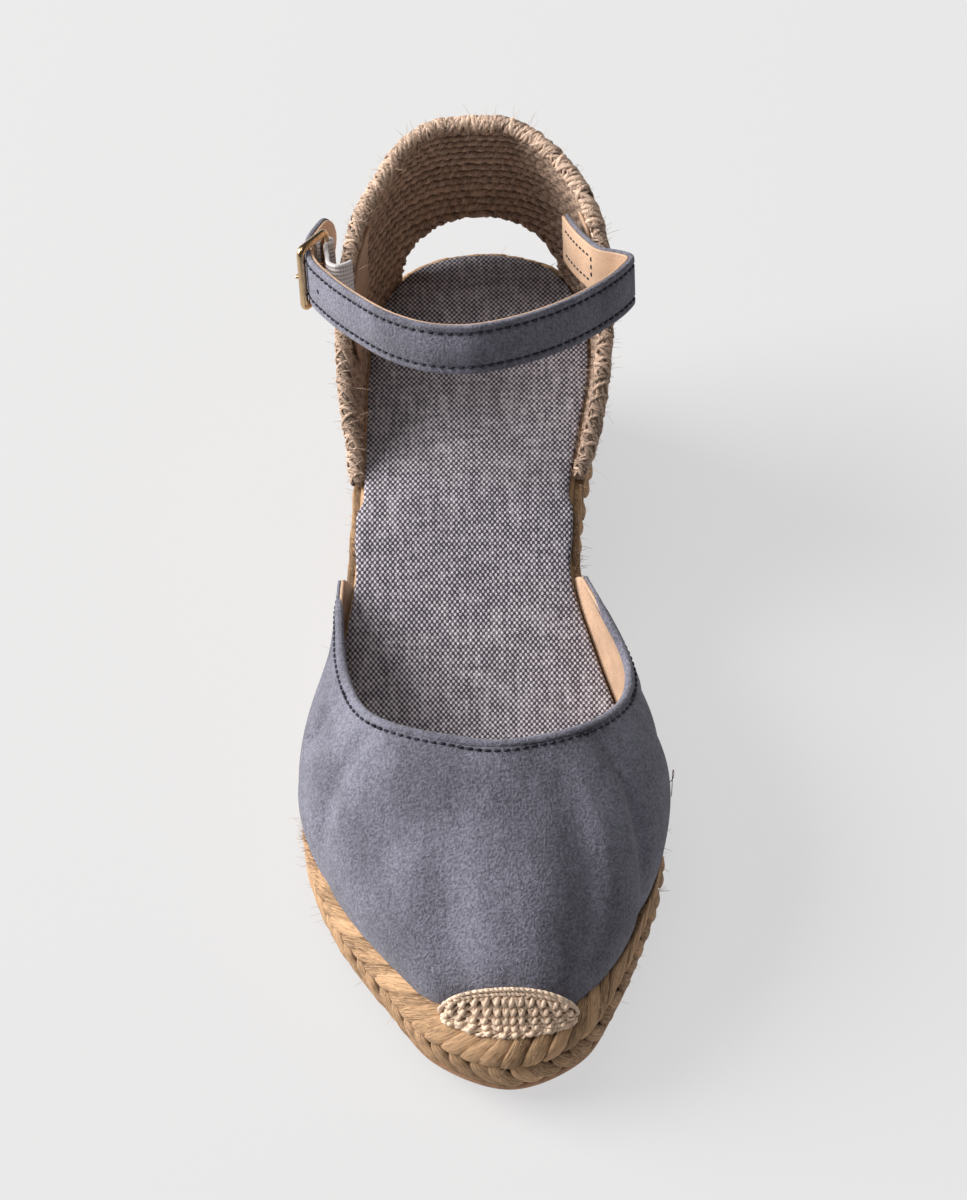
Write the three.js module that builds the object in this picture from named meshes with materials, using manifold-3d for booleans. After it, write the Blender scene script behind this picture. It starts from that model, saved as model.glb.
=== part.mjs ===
// Wedge espadrille, right shoe, in millimetres: +Z up, toe toward -Y, +X is the inner side of the foot.
// The origin lies on the floor, under the middle of the heel.

import * as THREE from 'three';
import { mergeVertices } from 'three/addons/utils/BufferGeometryUtils.js';
import Module from 'manifold-3d';

const wasm = await Module();
wasm.setup();

// Sole sizes
const soleLength = 237;
const ballWidth = 93;
const heelHeight = 57.5;
const foreHeight = 23;
const toeSpring = 5.5;
const archLift = 2.2;
const heelBevel = 1.2;
const outsoleThick = 3;
const outsoleSetback = 1.2;
const insoleThick = 2.5;
const platformDepth = 17.2;
const rowHeight = 11.7;
const ribDepth = 2.6;
const heelTaper = 5.8;
const restFromHeel = 38;

// Upper sizes
const vampHeight = 40;
const vampWall = 1.8;
const toplineThick = 2.4;
const toeSetback = 11;
const waistSetback = 1.8;
const counterReach = 76;
const counterHeight = 57;
const counterWidth = 74;
const counterWall = 2.6;
const counterEdge = 4;
const counterRoll = 5;
const counterSetback = 0.3;
const windowHeight = 14.3;
const patchWidth = 31;
const patchRise = 10;
const patchThick = 2.4;

// Strap and buckle sizes
const strapWidth = 13.5;
const strapThick = 2.2;
const strapSlope = 0.4;
const strapFromHeel = 41.5;
const strapHeight = 92;
const holeWidth = 2.6;
const wire = 2.2;
const prongWire = 1.5;
const barSpacing = 11.6;
const prongReach = 1.02;
const elasticWidth = 11.5;
const elasticThick = 1.1;
const liningThick = 1.2;

// Clearances
const gap = 0.3;
const fit = 0.5;

// Half outlines of the sole: shares of its length, of the ball width, and of the toe setback of the upper
const outlineRows = [
  { along: 0.024, lateral: 0.215, medial: 0.215, lateralSet: 0.055, medialSet: 0.055 },
  { along: 0.093, lateral: 0.333, medial: 0.33, lateralSet: 0.055, medialSet: 0.055 },
  { along: 0.177, lateral: 0.359, medial: 0.35, lateralSet: 0.055, medialSet: 0.055 },
  { along: 0.262, lateral: 0.365, medial: 0.318, lateralSet: 0.055, medialSet: 0.055 },
  { along: 0.346, lateral: 0.372, medial: 0.284, lateralSet: 0.055, medialSet: 0.055 },
  { along: 0.431, lateral: 0.39, medial: 0.282, lateralSet: 0.055, medialSet: 0.045 },
  { along: 0.515, lateral: 0.434, medial: 0.344, lateralSet: 0.055, medialSet: 0.03 },
  { along: 0.612, lateral: 0.489, medial: 0.43, lateralSet: 0.055, medialSet: 0.03 },
  { along: 0.692, lateral: 0.507, medial: 0.484, lateralSet: 0.085, medialSet: 0.03 },
  { along: 0.762, lateral: 0.473, medial: 0.478, lateralSet: 0.2, medialSet: 0.05 },
  { along: 0.834, lateral: 0.387, medial: 0.424, lateralSet: 0.29, medialSet: 0.09 },
  { along: 0.9, lateral: 0.272, medial: 0.358, lateralSet: 0.37, medialSet: 0.2 },
  { along: 0.965, lateral: 0.145, medial: 0.263, lateralSet: 0.64, medialSet: 0.46 },
];
const toeAcross = 0.068;
const insoleEase = 1.16;

// Height of the footbed: shares of the sole length, of the rise from forefoot to heel, and of the toe spring
const footbedRows = [
  { along: 0, rise: 1, spring: 0 },
  { along: 0.086, rise: 0.971, spring: 0 },
  { along: 0.171, rise: 0.913, spring: 0 },
  { along: 0.257, rise: 0.826, spring: 0 },
  { along: 0.343, rise: 0.71, spring: 0 },
  { along: 0.407, rise: 0.565, spring: 0 },
  { along: 0.471, rise: 0.377, spring: 0 },
  { along: 0.535, rise: 0.203, spring: 0 },
  { along: 0.6, rise: 0.087, spring: 0 },
  { along: 0.685, rise: 0.015, spring: 0.05 },
  { along: 0.77, rise: 0, spring: 0.12 },
  { along: 0.9, rise: 0, spring: 0.4 },
  { along: 1, rise: 0, spring: 0.75 },
];

// Height of the underside: shares of the sole length, heel bevel, arch lift and toe spring
const undersideRows = [
  { along: 0, bevel: 1, arch: 0, spring: 0 },
  { along: 0.034, bevel: 0, arch: 0, spring: 0 },
  { along: 0.3, bevel: 0, arch: 0, spring: 0 },
  { along: 0.43, bevel: 0, arch: 1, spring: 0 },
  { along: 0.557, bevel: 0, arch: 0, spring: 0 },
  { along: 0.72, bevel: 0, arch: 0, spring: 0 },
  { along: 0.835, bevel: 0, arch: 0, spring: 0.25 },
  { along: 0.92, bevel: 0, arch: 0, spring: 0.6 },
  { along: 1, bevel: 0, arch: 0, spring: 1 },
];

// Side of the platform braid: shares of its depth, of the rib depth, and of the way in to the upper
const platformRows = [
  { depth: 0, inset: 0.9, roll: 0 },
  { depth: 0.1, inset: 0.3, roll: 0 },
  { depth: 0.28, inset: 0, roll: 0 },
  { depth: 0.5, inset: 0.35, roll: 0 },
  { depth: 0.72, inset: 0.05, roll: 0.06 },
  { depth: 0.9, inset: 0.2, roll: 0.42 },
  { depth: 1, inset: 0, roll: 1 },
];

// Side of one braid row of the wedge: shares of the row height and of the rib depth
const wedgeRows = [
  { height: 0, inset: 1 },
  { height: 0.17, inset: 0.35 },
  { height: 0.5, inset: 0 },
  { height: 0.83, inset: 0.35 },
];
const wedgeRowCount = 4;

// Vamp from its outer wing to the toe, then to its inner wing: shares of the sole length for foot and along,
// of the ball width for across, lean and reach, of the vamp height for rise, and of the wall's own height
// for drop
const vampRows = [
  { foot: 0.431, side: -1, along: 0.433, across: -0.398, rise: 0.005, lean: 0.003, reach: 0, drop: 0.4 },
  { foot: 0.473, side: -1, along: 0.473, across: -0.397, rise: 0.18, lean: 0.009, reach: 0.006, drop: 0.35 },
  { foot: 0.523, side: -1, along: 0.514, across: -0.388, rise: 0.355, lean: 0.016, reach: 0.022, drop: 0.35 },
  { foot: 0.582, side: -1, along: 0.557, across: -0.375, rise: 0.49, lean: 0.026, reach: 0.054, drop: 0.3 },
  { foot: 0.641, side: -1, along: 0.599, across: -0.354, rise: 0.62, lean: 0.038, reach: 0.086, drop: 0.28 },
  { foot: 0.7, side: -1, along: 0.637, across: -0.322, rise: 0.722, lean: 0.042, reach: 0.129, drop: 0.27 },
  { foot: 0.76, side: -1, along: 0.669, across: -0.272, rise: 0.83, lean: 0.04, reach: 0.172, drop: 0.28 },
  { foot: 0.827, side: -1, along: 0.694, across: -0.187, rise: 0.918, lean: 0.034, reach: 0.215, drop: 0.3 },
  { foot: 0.91, side: -1, along: 0.712, across: -0.077, rise: 0.978, lean: 0.028, reach: 0.247, drop: 0.32 },
  { foot: 1, side: 1, along: 0.721, across: 0.045, rise: 0.993, lean: 0.022, reach: 0.269, drop: 0.33 },
  { foot: 0.917, side: 1, along: 0.718, across: 0.155, rise: 0.985, lean: 0.03, reach: 0.237, drop: 0.32 },
  { foot: 0.842, side: 1, along: 0.705, across: 0.247, rise: 0.948, lean: 0.042, reach: 0.204, drop: 0.3 },
  { foot: 0.776, side: 1, along: 0.684, across: 0.322, rise: 0.88, lean: 0.05, reach: 0.161, drop: 0.28 },
  { foot: 0.717, side: 1, along: 0.656, across: 0.374, rise: 0.788, lean: 0.055, reach: 0.114, drop: 0.27 },
  { foot: 0.658, side: 1, along: 0.625, across: 0.398, rise: 0.688, lean: 0.055, reach: 0.07, drop: 0.28 },
  { foot: 0.599, side: 1, along: 0.588, across: 0.4, rise: 0.59, lean: 0.045, reach: 0.038, drop: 0.3 },
  { foot: 0.536, side: 1, along: 0.544, across: 0.377, rise: 0.455, lean: 0.036, reach: 0.014, drop: 0.35 },
  { foot: 0.481, side: 1, along: 0.49, across: 0.33, rise: 0.27, lean: 0.016, reach: 0.008, drop: 0.35 },
  { foot: 0.431, side: 1, along: 0.436, across: 0.287, rise: 0.005, lean: 0.003, reach: 0, drop: 0.4 },
];
const climb = 0.38;

// Counter from the middle of the heel to its front end: shares of its reach for foot and along,
// of its width for across, of its height for rise, and of its wall's own height for bulge
const counterRows = [
  { foot: 0, along: 0.083, lateral: 0, medial: 0, rise: 1, bulge: 0.07 },
  { foot: 0.016, along: 0.089, lateral: 0.105, medial: 0.108, rise: 0.998, bulge: 0.07 },
  { foot: 0.06, along: 0.135, lateral: 0.2, medial: 0.21, rise: 0.982, bulge: 0.065 },
  { foot: 0.125, along: 0.195, lateral: 0.262, medial: 0.282, rise: 0.955, bulge: 0.06 },
  { foot: 0.21, along: 0.27, lateral: 0.315, medial: 0.35, rise: 0.915, bulge: 0.055 },
  { foot: 0.34, along: 0.38, lateral: 0.39, medial: 0.418, rise: 0.845, bulge: 0.045 },
  { foot: 0.48, along: 0.5, lateral: 0.442, medial: 0.455, rise: 0.72, bulge: 0.035 },
  { foot: 0.63, along: 0.64, lateral: 0.472, medial: 0.462, rise: 0.53, bulge: 0.025 },
  { foot: 0.77, along: 0.775, lateral: 0.476, medial: 0.445, rise: 0.34, bulge: 0.015 },
  { foot: 0.89, along: 0.89, lateral: 0.458, medial: 0.41, rise: 0.165, bulge: 0.01 },
  { foot: 1, along: 1, lateral: 0.452, medial: 0.355, rise: 0.05, bulge: 0 },
];

// Middle line of the strap in its own slanting plane, from the sewn end round the front to the free end:
// shares of the counter width across and of the counter's reach along
const strapRows = [
  { across: 0.33, along: -0.24 },
  { across: 0.36, along: -0.14 },
  { across: 0.396, along: -0.05 },
  { across: 0.45, along: 0.044 },
  { across: 0.52, along: 0.08 },
  { across: 0.553, along: 0.11 },
  { across: 0.53, along: 0.185 },
  { across: 0.43, along: 0.335 },
  { across: 0.3, along: 0.465 },
  { across: 0.16, along: 0.555 },
  { across: 0.01, along: 0.605 },
  { across: -0.13, along: 0.585 },
  { across: -0.26, along: 0.5 },
  { across: -0.395, along: 0.34 },
  { across: -0.505, along: 0.17 },
  { across: -0.565, along: 0.04 },
  { across: -0.58, along: -0.1 },
  { across: -0.555, along: -0.22 },
  { across: -0.515, along: -0.33 },
];
const frontBarAlong = 0.035;

// Middle line of the elastic in the same plane, with the same shares, before it turns round the back bar
const elasticRows = [
  { across: -0.326, along: -0.2 },
  { across: -0.368, along: -0.1 },
  { across: -0.402, along: 0 },
  { across: -0.434, along: 0.066 },
  { across: -0.472, along: 0.085 },
  { across: -0.5, along: 0.062 },
  { across: -0.51, along: 0 },
];
const loopTurns = [0.42, 0.17, -0.08, -0.33, -0.58, -0.83, -1.08];

// Section of the crocheted patch, round from its inner foot: shares of its spread, rise and thickness,
// measured outward from the vamp when it climbs and from its own foot when it lies on the braid
const patchRows = [
  { climbs: false, spread: 0, rise: 0, out: 0, up: 0 },
  { climbs: false, spread: 1, rise: 0, out: 0, up: -0.12 },
  { climbs: false, spread: 1, rise: 0, out: 0.3, up: 0.5 },
  { climbs: true, spread: 0, rise: 0.4, out: 1.05, up: 0.35 },
  { climbs: true, spread: 0, rise: 1, out: 0.6, up: 0.35 },
  { climbs: true, spread: 0, rise: 1, out: 0, up: 0 },
  { climbs: true, spread: 0, rise: 0.5, out: 0, up: 0 },
];
const patchSpread = 0.36;
const patchEnds = { rise: 0.3, thick: 0.45, spread: 0.55, reach: 0.96 };

function at(along, across, height) {
  return new THREE.Vector3(across, restFromHeel - along, height);
}

// Smooth value of one column between the rows of a table, without overshoot
function follow(rows, column, place, key = 'along') {
  const last = rows.length - 1;
  if (place <= rows[0][key]) return rows[0][column];
  if (place >= rows[last][key]) return rows[last][column];
  const i = rows.findIndex((row) => row[key] > place) - 1;
  const slope = (k) => (rows[k + 1][column] - rows[k][column]) / (rows[k + 1][key] - rows[k][key]);
  const bend = (k) => {
    if (k === 0) return slope(0);
    if (k === last) return slope(last - 1);
    const before = slope(k - 1);
    const after = slope(k);
    if (before * after <= 0) return 0;
    return (2 * before * after) / (before + after);
  };
  const width = rows[i + 1][key] - rows[i][key];
  const s = (place - rows[i][key]) / width;
  const a = rows[i][column];
  const b = rows[i + 1][column];
  const h1 = s * s * (3 - 2 * s);
  return a + (b - a) * h1 + width * (bend(i) * s * (1 - s) * (1 - s) - bend(i + 1) * s * s * (1 - s));
}

function footbed(along) {
  const share = along / soleLength;
  const rise = (heelHeight - foreHeight) * follow(footbedRows, 'rise', share);
  return foreHeight + rise + toeSpring * follow(footbedRows, 'spring', share);
}

function underside(along) {
  const share = along / soleLength;
  const heel = heelBevel * follow(undersideRows, 'bevel', share);
  const arch = archLift * follow(undersideRows, 'arch', share);
  return heel + arch + toeSpring * follow(undersideRows, 'spring', share);
}

function braidTop(along) {
  return footbed(along) - insoleThick - gap;
}

// Outline of the sole, from the back of the heel along the outer side to the toe, and back on the inner side
function outlinePoints() {
  const lateral = outlineRows.map((row) => at(row.along * soleLength, -row.lateral * ballWidth, 0));
  const medial = outlineRows.map((row) => at(row.along * soleLength, row.medial * ballWidth, 0));
  return [at(0, 0, 0), ...lateral, at(soleLength, toeAcross * ballWidth, 0), ...medial.reverse()];
}

const outline = new THREE.CatmullRomCurve3(outlinePoints(), true, 'centripetal');
const ringSteps = 2 * outline.points.length;
const toeParam = 0.5;

function outlineAt(param, inset) {
  const p = outline.getPoint(param);
  const ahead = outline.getTangent(param);
  return p.add(new THREE.Vector3(-ahead.y, ahead.x, 0).multiplyScalar(inset));
}

function outward(param) {
  const ahead = outline.getTangent(param);
  return new THREE.Vector3(ahead.y, -ahead.x, 0).normalize();
}

function alongOf(point) {
  return restFromHeel - point.y;
}

// Place on the outline, on one side, of a distance from the back of the heel
function paramAt(along, side) {
  let low = 0;
  let high = toeParam;
  for (let i = 0; i < 40; i++) {
    const middle = (low + high) / 2;
    const param = side < 0 ? middle : 1 - middle;
    if (alongOf(outline.getPoint(param)) < along) low = middle;
    else high = middle;
  }
  return side < 0 ? low : 1 - low;
}

function featherInset(param) {
  const column = param < toeParam ? 'lateralSet' : 'medialSet';
  const share = alongOf(outline.getPoint(param)) / soleLength;
  const ends = [{ along: 0, [column]: outlineRows[0][column] }, ...outlineRows, { along: 1, [column]: 1 }];
  return toeSetback * follow(ends, column, share);
}

const vampStart = vampRows[0].foot * soleLength;

function insoleInset(param) {
  const along = alongOf(outline.getPoint(param));
  const heel = counterSetback + counterWall + fit;
  const fore = insoleEase * featherInset(param) + vampWall + fit;
  const { lerp, smoothstep } = THREE.MathUtils;
  const front = counterReach + counterRoll;
  const waist = lerp(heel, waistSetback, smoothstep(along, front, front + counterRoll));
  return lerp(waist, fore, smoothstep(along, vampStart - toeSetback, vampStart - gap));
}

// One closed ring round the sole
function ring(insetAt, heightAt) {
  const points = [];
  for (let i = 0; i < ringSteps; i++) {
    const param = i / ringSteps;
    const p = outlineAt(param, insetAt(param));
    p.z = heightAt(alongOf(p));
    points.push(p);
  }
  return points;
}

function geometryOf(points, faces) {
  const geometry = new THREE.BufferGeometry();
  const numbers = points.flatMap((p) => [p.x, p.y, p.z]);
  geometry.setAttribute('position', new THREE.Float32BufferAttribute(numbers, 3));
  geometry.setIndex(faces.flat());
  return geometry;
}

// Solid between rings that lie one above the other, closed across its bottom and top
function stack(rings) {
  const count = rings[0].length;
  const faces = [];
  for (let r = 0; r < rings.length - 1; r++) {
    for (let i = 0; i < count; i++) {
      const a = r * count + i;
      const b = r * count + ((i + 1) % count);
      faces.push([a, b, b + count], [a, b + count, a + count]);
    }
  }
  const top = (rings.length - 1) * count;
  for (let i = 0; i < count / 2; i++) {
    const left = i;
    const right = (count - i) % count;
    const nextLeft = i + 1;
    const nextRight = count - i - 1;
    if (nextLeft !== nextRight) {
      faces.push([top + left, top + nextLeft, top + nextRight]);
      faces.push([left, nextRight, nextLeft]);
    }
    if (left !== right) {
      faces.push([top + left, top + nextRight, top + right]);
      faces.push([left, right, nextRight]);
    }
  }
  return geometryOf(rings.flat(), faces);
}

// Closed wall between two sheets of points, each a list of columns
function wall(outer, inner) {
  const columns = outer.length;
  const rows = outer[0].length;
  const points = [...outer.flat(), ...inner.flat()];
  const inside = columns * rows;
  const id = (c, r) => c * rows + r;
  const faces = [];
  const quad = (a, b, c, d) => faces.push([a, b, c], [a, c, d]);
  for (let c = 0; c < columns - 1; c++) {
    for (let r = 0; r < rows - 1; r++) {
      quad(id(c, r), id(c + 1, r), id(c + 1, r + 1), id(c, r + 1));
      quad(inside + id(c, r), inside + id(c, r + 1), inside + id(c + 1, r + 1), inside + id(c + 1, r));
    }
    quad(id(c, 0), inside + id(c, 0), inside + id(c + 1, 0), id(c + 1, 0));
    quad(id(c, rows - 1), id(c + 1, rows - 1), inside + id(c + 1, rows - 1), inside + id(c, rows - 1));
  }
  for (let r = 0; r < rows - 1; r++) {
    quad(id(0, r), id(0, r + 1), inside + id(0, r + 1), inside + id(0, r));
    const c = columns - 1;
    quad(id(c, r), inside + id(c, r), inside + id(c, r + 1), id(c, r + 1));
  }
  return geometryOf(points, faces);
}

// Solid for joining and cutting
function solid(geometry) {
  geometry.deleteAttribute('normal');
  geometry.deleteAttribute('uv');
  const merged = mergeVertices(geometry, 1e-4);
  return new wasm.Manifold(new wasm.Mesh({
    numProp: 3,
    vertProperties: new Float32Array(merged.attributes.position.array),
    triVerts: new Uint32Array(merged.index.array),
  }));
}

function meshed(body) {
  const mesh = body.getMesh();
  const geometry = new THREE.BufferGeometry();
  geometry.setAttribute('position', new THREE.BufferAttribute(mesh.vertProperties, 3));
  geometry.setIndex(new THREE.BufferAttribute(mesh.triVerts, 1));
  return geometry;
}

// Unit normals of a sheet of points, pointing to the side that the wall function calls outer
function normalsOf(sheet) {
  return sheet.map((column, c) => column.map((p, r) => {
    const ahead = (sheet[c + 1] ?? column)[r].clone().sub((sheet[c - 1] ?? column)[r]);
    const up = (column[r + 1] ?? p).clone().sub(column[r - 1] ?? p);
    return ahead.cross(up).normalize();
  }));
}

// Outsole
function outsoleGeometry() {
  const edge = (param) => outsoleSetback + taper(alongOf(outline.getPoint(param)), 0);
  return stack([
    ring((param) => edge(param) + heelBevel, underside),
    ring(edge, (along) => underside(along) + heelBevel),
    ring(edge, (along) => underside(along) + outsoleThick),
  ]);
}

// Braided platform and wedge
function platformBottom(along) {
  return Math.max(braidTop(along) - platformDepth, underside(along) + outsoleThick + gap);
}

function taper(along, height) {
  const low = Math.max(0, 1 - height / (3 * rowHeight));
  return heelTaper * low * (1 - THREE.MathUtils.smoothstep(along, soleLength / 3, 0.6 * soleLength));
}

function platformGeometry() {
  return stack(platformRows.map((row) => ring(
    (param) => row.inset * ribDepth + row.roll * featherInset(param),
    (along) => THREE.MathUtils.lerp(platformBottom(along), braidTop(along), row.depth),
  )));
}

function braidRowsGeometry() {
  const rings = [];
  const addRing = (level, inset) => rings.push(ring(
    (param) => inset * ribDepth + taper(alongOf(outline.getPoint(param)), level),
    (along) => outsoleThick + gap + level + underside(along) * Math.max(0, 1 - level / rowHeight),
  ));
  for (let i = 0; i < wedgeRowCount; i++) {
    wedgeRows.forEach((row) => addRing((i + row.height) * rowHeight, row.inset));
  }
  addRing(wedgeRowCount * rowHeight, wedgeRows[0].inset);
  return stack(rings);
}

function wedgeGeometry() {
  const under = stack([
    ring(() => -ribDepth, () => -heelHeight),
    ring(() => -ribDepth, (along) => platformBottom(along) + gap),
  ]);
  const rows = solid(braidRowsGeometry()).intersect(solid(under));
  return meshed(rows.add(solid(platformGeometry())));
}

// Insole
function insoleGeometry() {
  const crown = insoleThick / 4;
  return stack([
    ring(insoleInset, (along) => footbed(along) - insoleThick),
    ring(insoleInset, (along) => footbed(along) - crown),
    ring((param) => insoleInset(param) + crown, footbed),
  ]);
}

// Vamp: each column is a curve from its foot on the braid up to the topline
const vampFeet = vampRows.map((row) => paramAt(row.foot * soleLength, row.side));

function between(values, place) {
  const points = values.map((v) => new THREE.Vector3(v, 0, 0));
  const curve = new THREE.CatmullRomCurve3(points, false, 'catmullrom');
  return curve.getPoint(place / (values.length - 1)).x;
}

function vampColumn(place) {
  const value = (column) => between(vampRows.map((row) => row[column]), place);
  const param = between(vampFeet, place);
  const foot = outlineAt(param, featherInset(param) + vampWall / 2);
  foot.z = braidTop(alongOf(foot)) + gap;
  const along = value('along') * soleLength;
  const top = at(along, value('across') * ballWidth, footbed(along) + value('rise') * vampHeight);
  const out = outward(param);
  const tall = top.z - foot.z;
  const low = foot.clone().addScaledVector(out, value('lean') * ballWidth);
  low.z += climb * tall;
  const high = top.clone().addScaledVector(out, value('reach') * ballWidth);
  high.z -= value('drop') * tall;
  return new THREE.CubicBezierCurve3(foot, low, high, top);
}

const vampSteps = 38;
const vampLevels = [0, 0.12, 0.26, 0.42, 0.58, 0.74, 0.88, 0.95, 1];

function vampGeometry() {
  const middle = [];
  for (let i = 0; i <= vampSteps; i++) {
    const curve = vampColumn((i / vampSteps) * (vampRows.length - 1));
    middle.push(vampLevels.map((level) => curve.getPoint(level)));
  }
  const normals = normalsOf(middle);
  const last = vampLevels.length - 1;
  const shift = (sign) => middle.map((column, c) => column.map((p, r) => {
    const thick = r === last - 1 ? toplineThick : vampWall;
    const moved = p.clone().addScaledVector(normals[c][r], (sign * thick) / 2);
    if (r === 0) moved.z = p.z;
    return moved;
  }));
  return wall(shift(1), shift(-1));
}

// Crocheted patch over the toe: a section on each column of the vamp, lying on the braid and on the vamp
const toePlace = (vampRows.length - 1) / 2;
const patchSteps = 10;

function patchSection(place, share) {
  const curve = vampColumn(place);
  const param = between(vampFeet, place);
  const out = outward(param);
  const size = Math.sqrt(1 - share * share);
  const foot = curve.getPoint(0);
  const rise = THREE.MathUtils.lerp(patchEnds.rise, 1, size) * patchRise;
  const thick = THREE.MathUtils.lerp(patchEnds.thick, 1, size) * patchThick;
  const spread = THREE.MathUtils.lerp(patchEnds.spread, 1, size) * patchSpread * featherInset(param);
  const base = vampWall / 2 + fit;
  const lean = (up) => {
    let level = 0;
    while (curve.getPoint(level).z < foot.z + up) level += 0.01;
    return curve.getPoint(level).sub(foot).dot(out);
  };
  return patchRows.map((row) => {
    const far = base + (row.climbs ? lean(row.rise * rise) : 0) + row.spread * spread + row.out * thick;
    const p = foot.clone().addScaledVector(out, far);
    p.z += row.rise * rise + row.up * thick;
    return p;
  });
}

function patchGeometry() {
  const centre = outlineAt(toeParam, toeSetback);
  const reach = (place) => {
    const foot = vampColumn(place).getPoint(0);
    return Math.abs(foot.x - centre.x);
  };
  const edge = (sign) => {
    let place = toePlace;
    while (reach(place) < patchWidth / 2) place += sign * 0.02;
    return place;
  };
  const ends = [edge(-1), edge(1)];
  const sections = [];
  for (let i = 0; i <= patchSteps; i++) {
    const share = -Math.cos((Math.PI * i) / patchSteps);
    const place = THREE.MathUtils.lerp(ends[0], ends[1], (share + 1) / 2);
    sections.push(patchSection(place, share * patchEnds.reach));
  }
  return tubeOf(sections, outward(toeParam));
}

// Solid through closed sections that follow one another, with its ends flattened along one direction
function tubeOf(sections, flatAlong) {
  const count = sections[0].length;
  const faces = [];
  for (let s = 0; s < sections.length - 1; s++) {
    for (let i = 0; i < count; i++) {
      const a = s * count + i;
      const b = s * count + ((i + 1) % count);
      faces.push([a, b, b + count], [a, b + count, a + count]);
    }
  }
  const last = (sections.length - 1) * count;
  const flat = sections[0].map((p) => new THREE.Vector2(p.clone().sub(sections[0][0]).dot(flatAlong), p.z));
  THREE.ShapeUtils.triangulateShape(flat, []).forEach(([a, b, c]) => {
    faces.push([a, c, b], [last + a, last + b, last + c]);
  });
  return outsideOut(geometryOf(sections.flat(), faces));
}

// Turns the faces of a closed geometry over where they point in
function outsideOut(geometry) {
  const position = geometry.attributes.position;
  const corners = geometry.index.array;
  const corner = (i) => new THREE.Vector3().fromBufferAttribute(position, corners[i]);
  let volume = 0;
  for (let i = 0; i < corners.length; i += 3) {
    volume += corner(i).dot(corner(i + 1).cross(corner(i + 2)));
  }
  if (volume < 0) geometry.setIndex(Array.from(corners).reverse());
  return geometry;
}

// Counter: a wall round the heel, open below at the back, with rolled edges
const counterTurns = [
  0, 0.08, 0.15, 0.2, 0.235, 0.255, 0.265, 0.32, 0.4, 0.49, 0.58, 0.67, 0.76, 0.84, 0.92, 1,
];
const windowTurn = 0.265;
const rollTaper = 0.7;
const rollLimit = 0.3;

function counterFrame(turn, side) {
  const foot = follow(counterFeet, 'foot', turn, 'turn') * counterReach;
  const param = turn === 0 ? 0 : paramAt(foot, side);
  const bottom = outlineAt(param, counterSetback + counterWall / 2);
  bottom.z = braidTop(alongOf(bottom)) + gap;
  const value = (column) => follow(counterFeet, column, turn, 'turn');
  const along = value('along') * counterReach;
  const across = side * value(side < 0 ? 'lateral' : 'medial') * counterWidth;
  const top = at(along, across, braidTop(along) + value('rise') * counterHeight);
  return { bottom, top, out: outward(param), bulge: value('bulge') };
}

// Rows of the counter with the share of the way round at which each stands
const counterFeet = (() => {
  const params = counterRows.map((row) => (row.foot === 0 ? 0 : paramAt(row.foot * counterReach, -1)));
  const feet = params.map((param) => outline.getPoint(param));
  const lengths = [0];
  for (let i = 1; i < feet.length; i++) lengths.push(lengths[i - 1] + feet[i].distanceTo(feet[i - 1]));
  const total = lengths[lengths.length - 1];
  return counterRows.map((row, i) => ({ ...row, turn: lengths[i] / total }));
})();

function counterColumn(turn, side) {
  const { bottom, top, out, bulge } = counterFrame(turn, side);
  const tall = top.z - bottom.z;
  const share = Math.min(1, turn / windowTurn);
  const open = (windowHeight * Math.sqrt(1 - share * share)) / tall;
  const inWindow = turn < windowTurn;
  const roll = Math.min(counterRoll / tall, (1 - open) * rollLimit);
  const levels = [open, open + roll / 2, open + roll];
  for (let i = 1; i <= 3; i++) levels.push(THREE.MathUtils.lerp(open + roll, 1 - roll, i / 4));
  levels.push(1 - roll, 1 - roll / 2, 1);
  const points = levels.map((level) => {
    const p = bottom.clone().lerp(top, level);
    return p.addScaledVector(out, 4 * bulge * tall * level * (1 - level));
  });
  const low = inWindow ? counterEdge : counterWall;
  const thicks = [low * rollTaper, low, ...Array(5).fill(counterWall), counterEdge, counterEdge * rollTaper];
  if (!inWindow) thicks[0] = counterWall;
  return { points, thicks, inWindow };
}

function counterSheets() {
  const columns = [];
  [...counterTurns].reverse().forEach((turn) => columns.push(counterColumn(turn, -1)));
  counterTurns.slice(1).forEach((turn) => columns.push(counterColumn(turn, 1)));
  columns.reverse();
  const middle = columns.map((column) => column.points);
  const normals = normalsOf(middle);
  const shift = (sign, extra) => columns.map((column, c) => column.points.map((p, r) => {
    const offset = sign * (column.thicks[r] / 2 + extra);
    const moved = p.clone().addScaledVector(normals[c][r], offset);
    if (r === 0 && !column.inWindow) moved.z = p.z;
    return moved;
  }));
  return shift;
}

function counterGeometry() {
  const shift = counterSheets();
  return outsideOut(wall(shift(1, 0), shift(-1, 0)));
}

// Leather pieces sewn to the inside of the counter, under the strap's end and under the elastic:
// first column from the middle of the heel, number of columns, and levels of the wall they cover
const liningSpans = {
  lateral: { first: 8, columns: 4, low: 3, high: 7 },
  medial: { first: -10, columns: 3, low: 4, high: 7 },
};

function liningGeometry(span) {
  const shift = counterSheets();
  const near = shift(-1, fit);
  const far = shift(-1, fit + liningThick);
  const first = (near.length - 1) / 2 + span.first;
  const cut = (column) => column.slice(span.low, span.high);
  const pick = (sheet) => sheet.slice(first, first + span.columns).map(cut);
  return outsideOut(wall(pick(near), pick(far)));
}

// Slanting plane of the strap: across, forward along the slope, and down its width
const slant = Math.atan(strapSlope);
const strapPlane = new THREE.Matrix4().makeBasis(
  new THREE.Vector3(1, 0, 0),
  new THREE.Vector3(0, -Math.cos(slant), Math.sin(slant)),
  new THREE.Vector3(0, -Math.sin(slant), -Math.cos(slant)),
).setPosition(at(strapFromHeel, 0, strapHeight));

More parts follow.
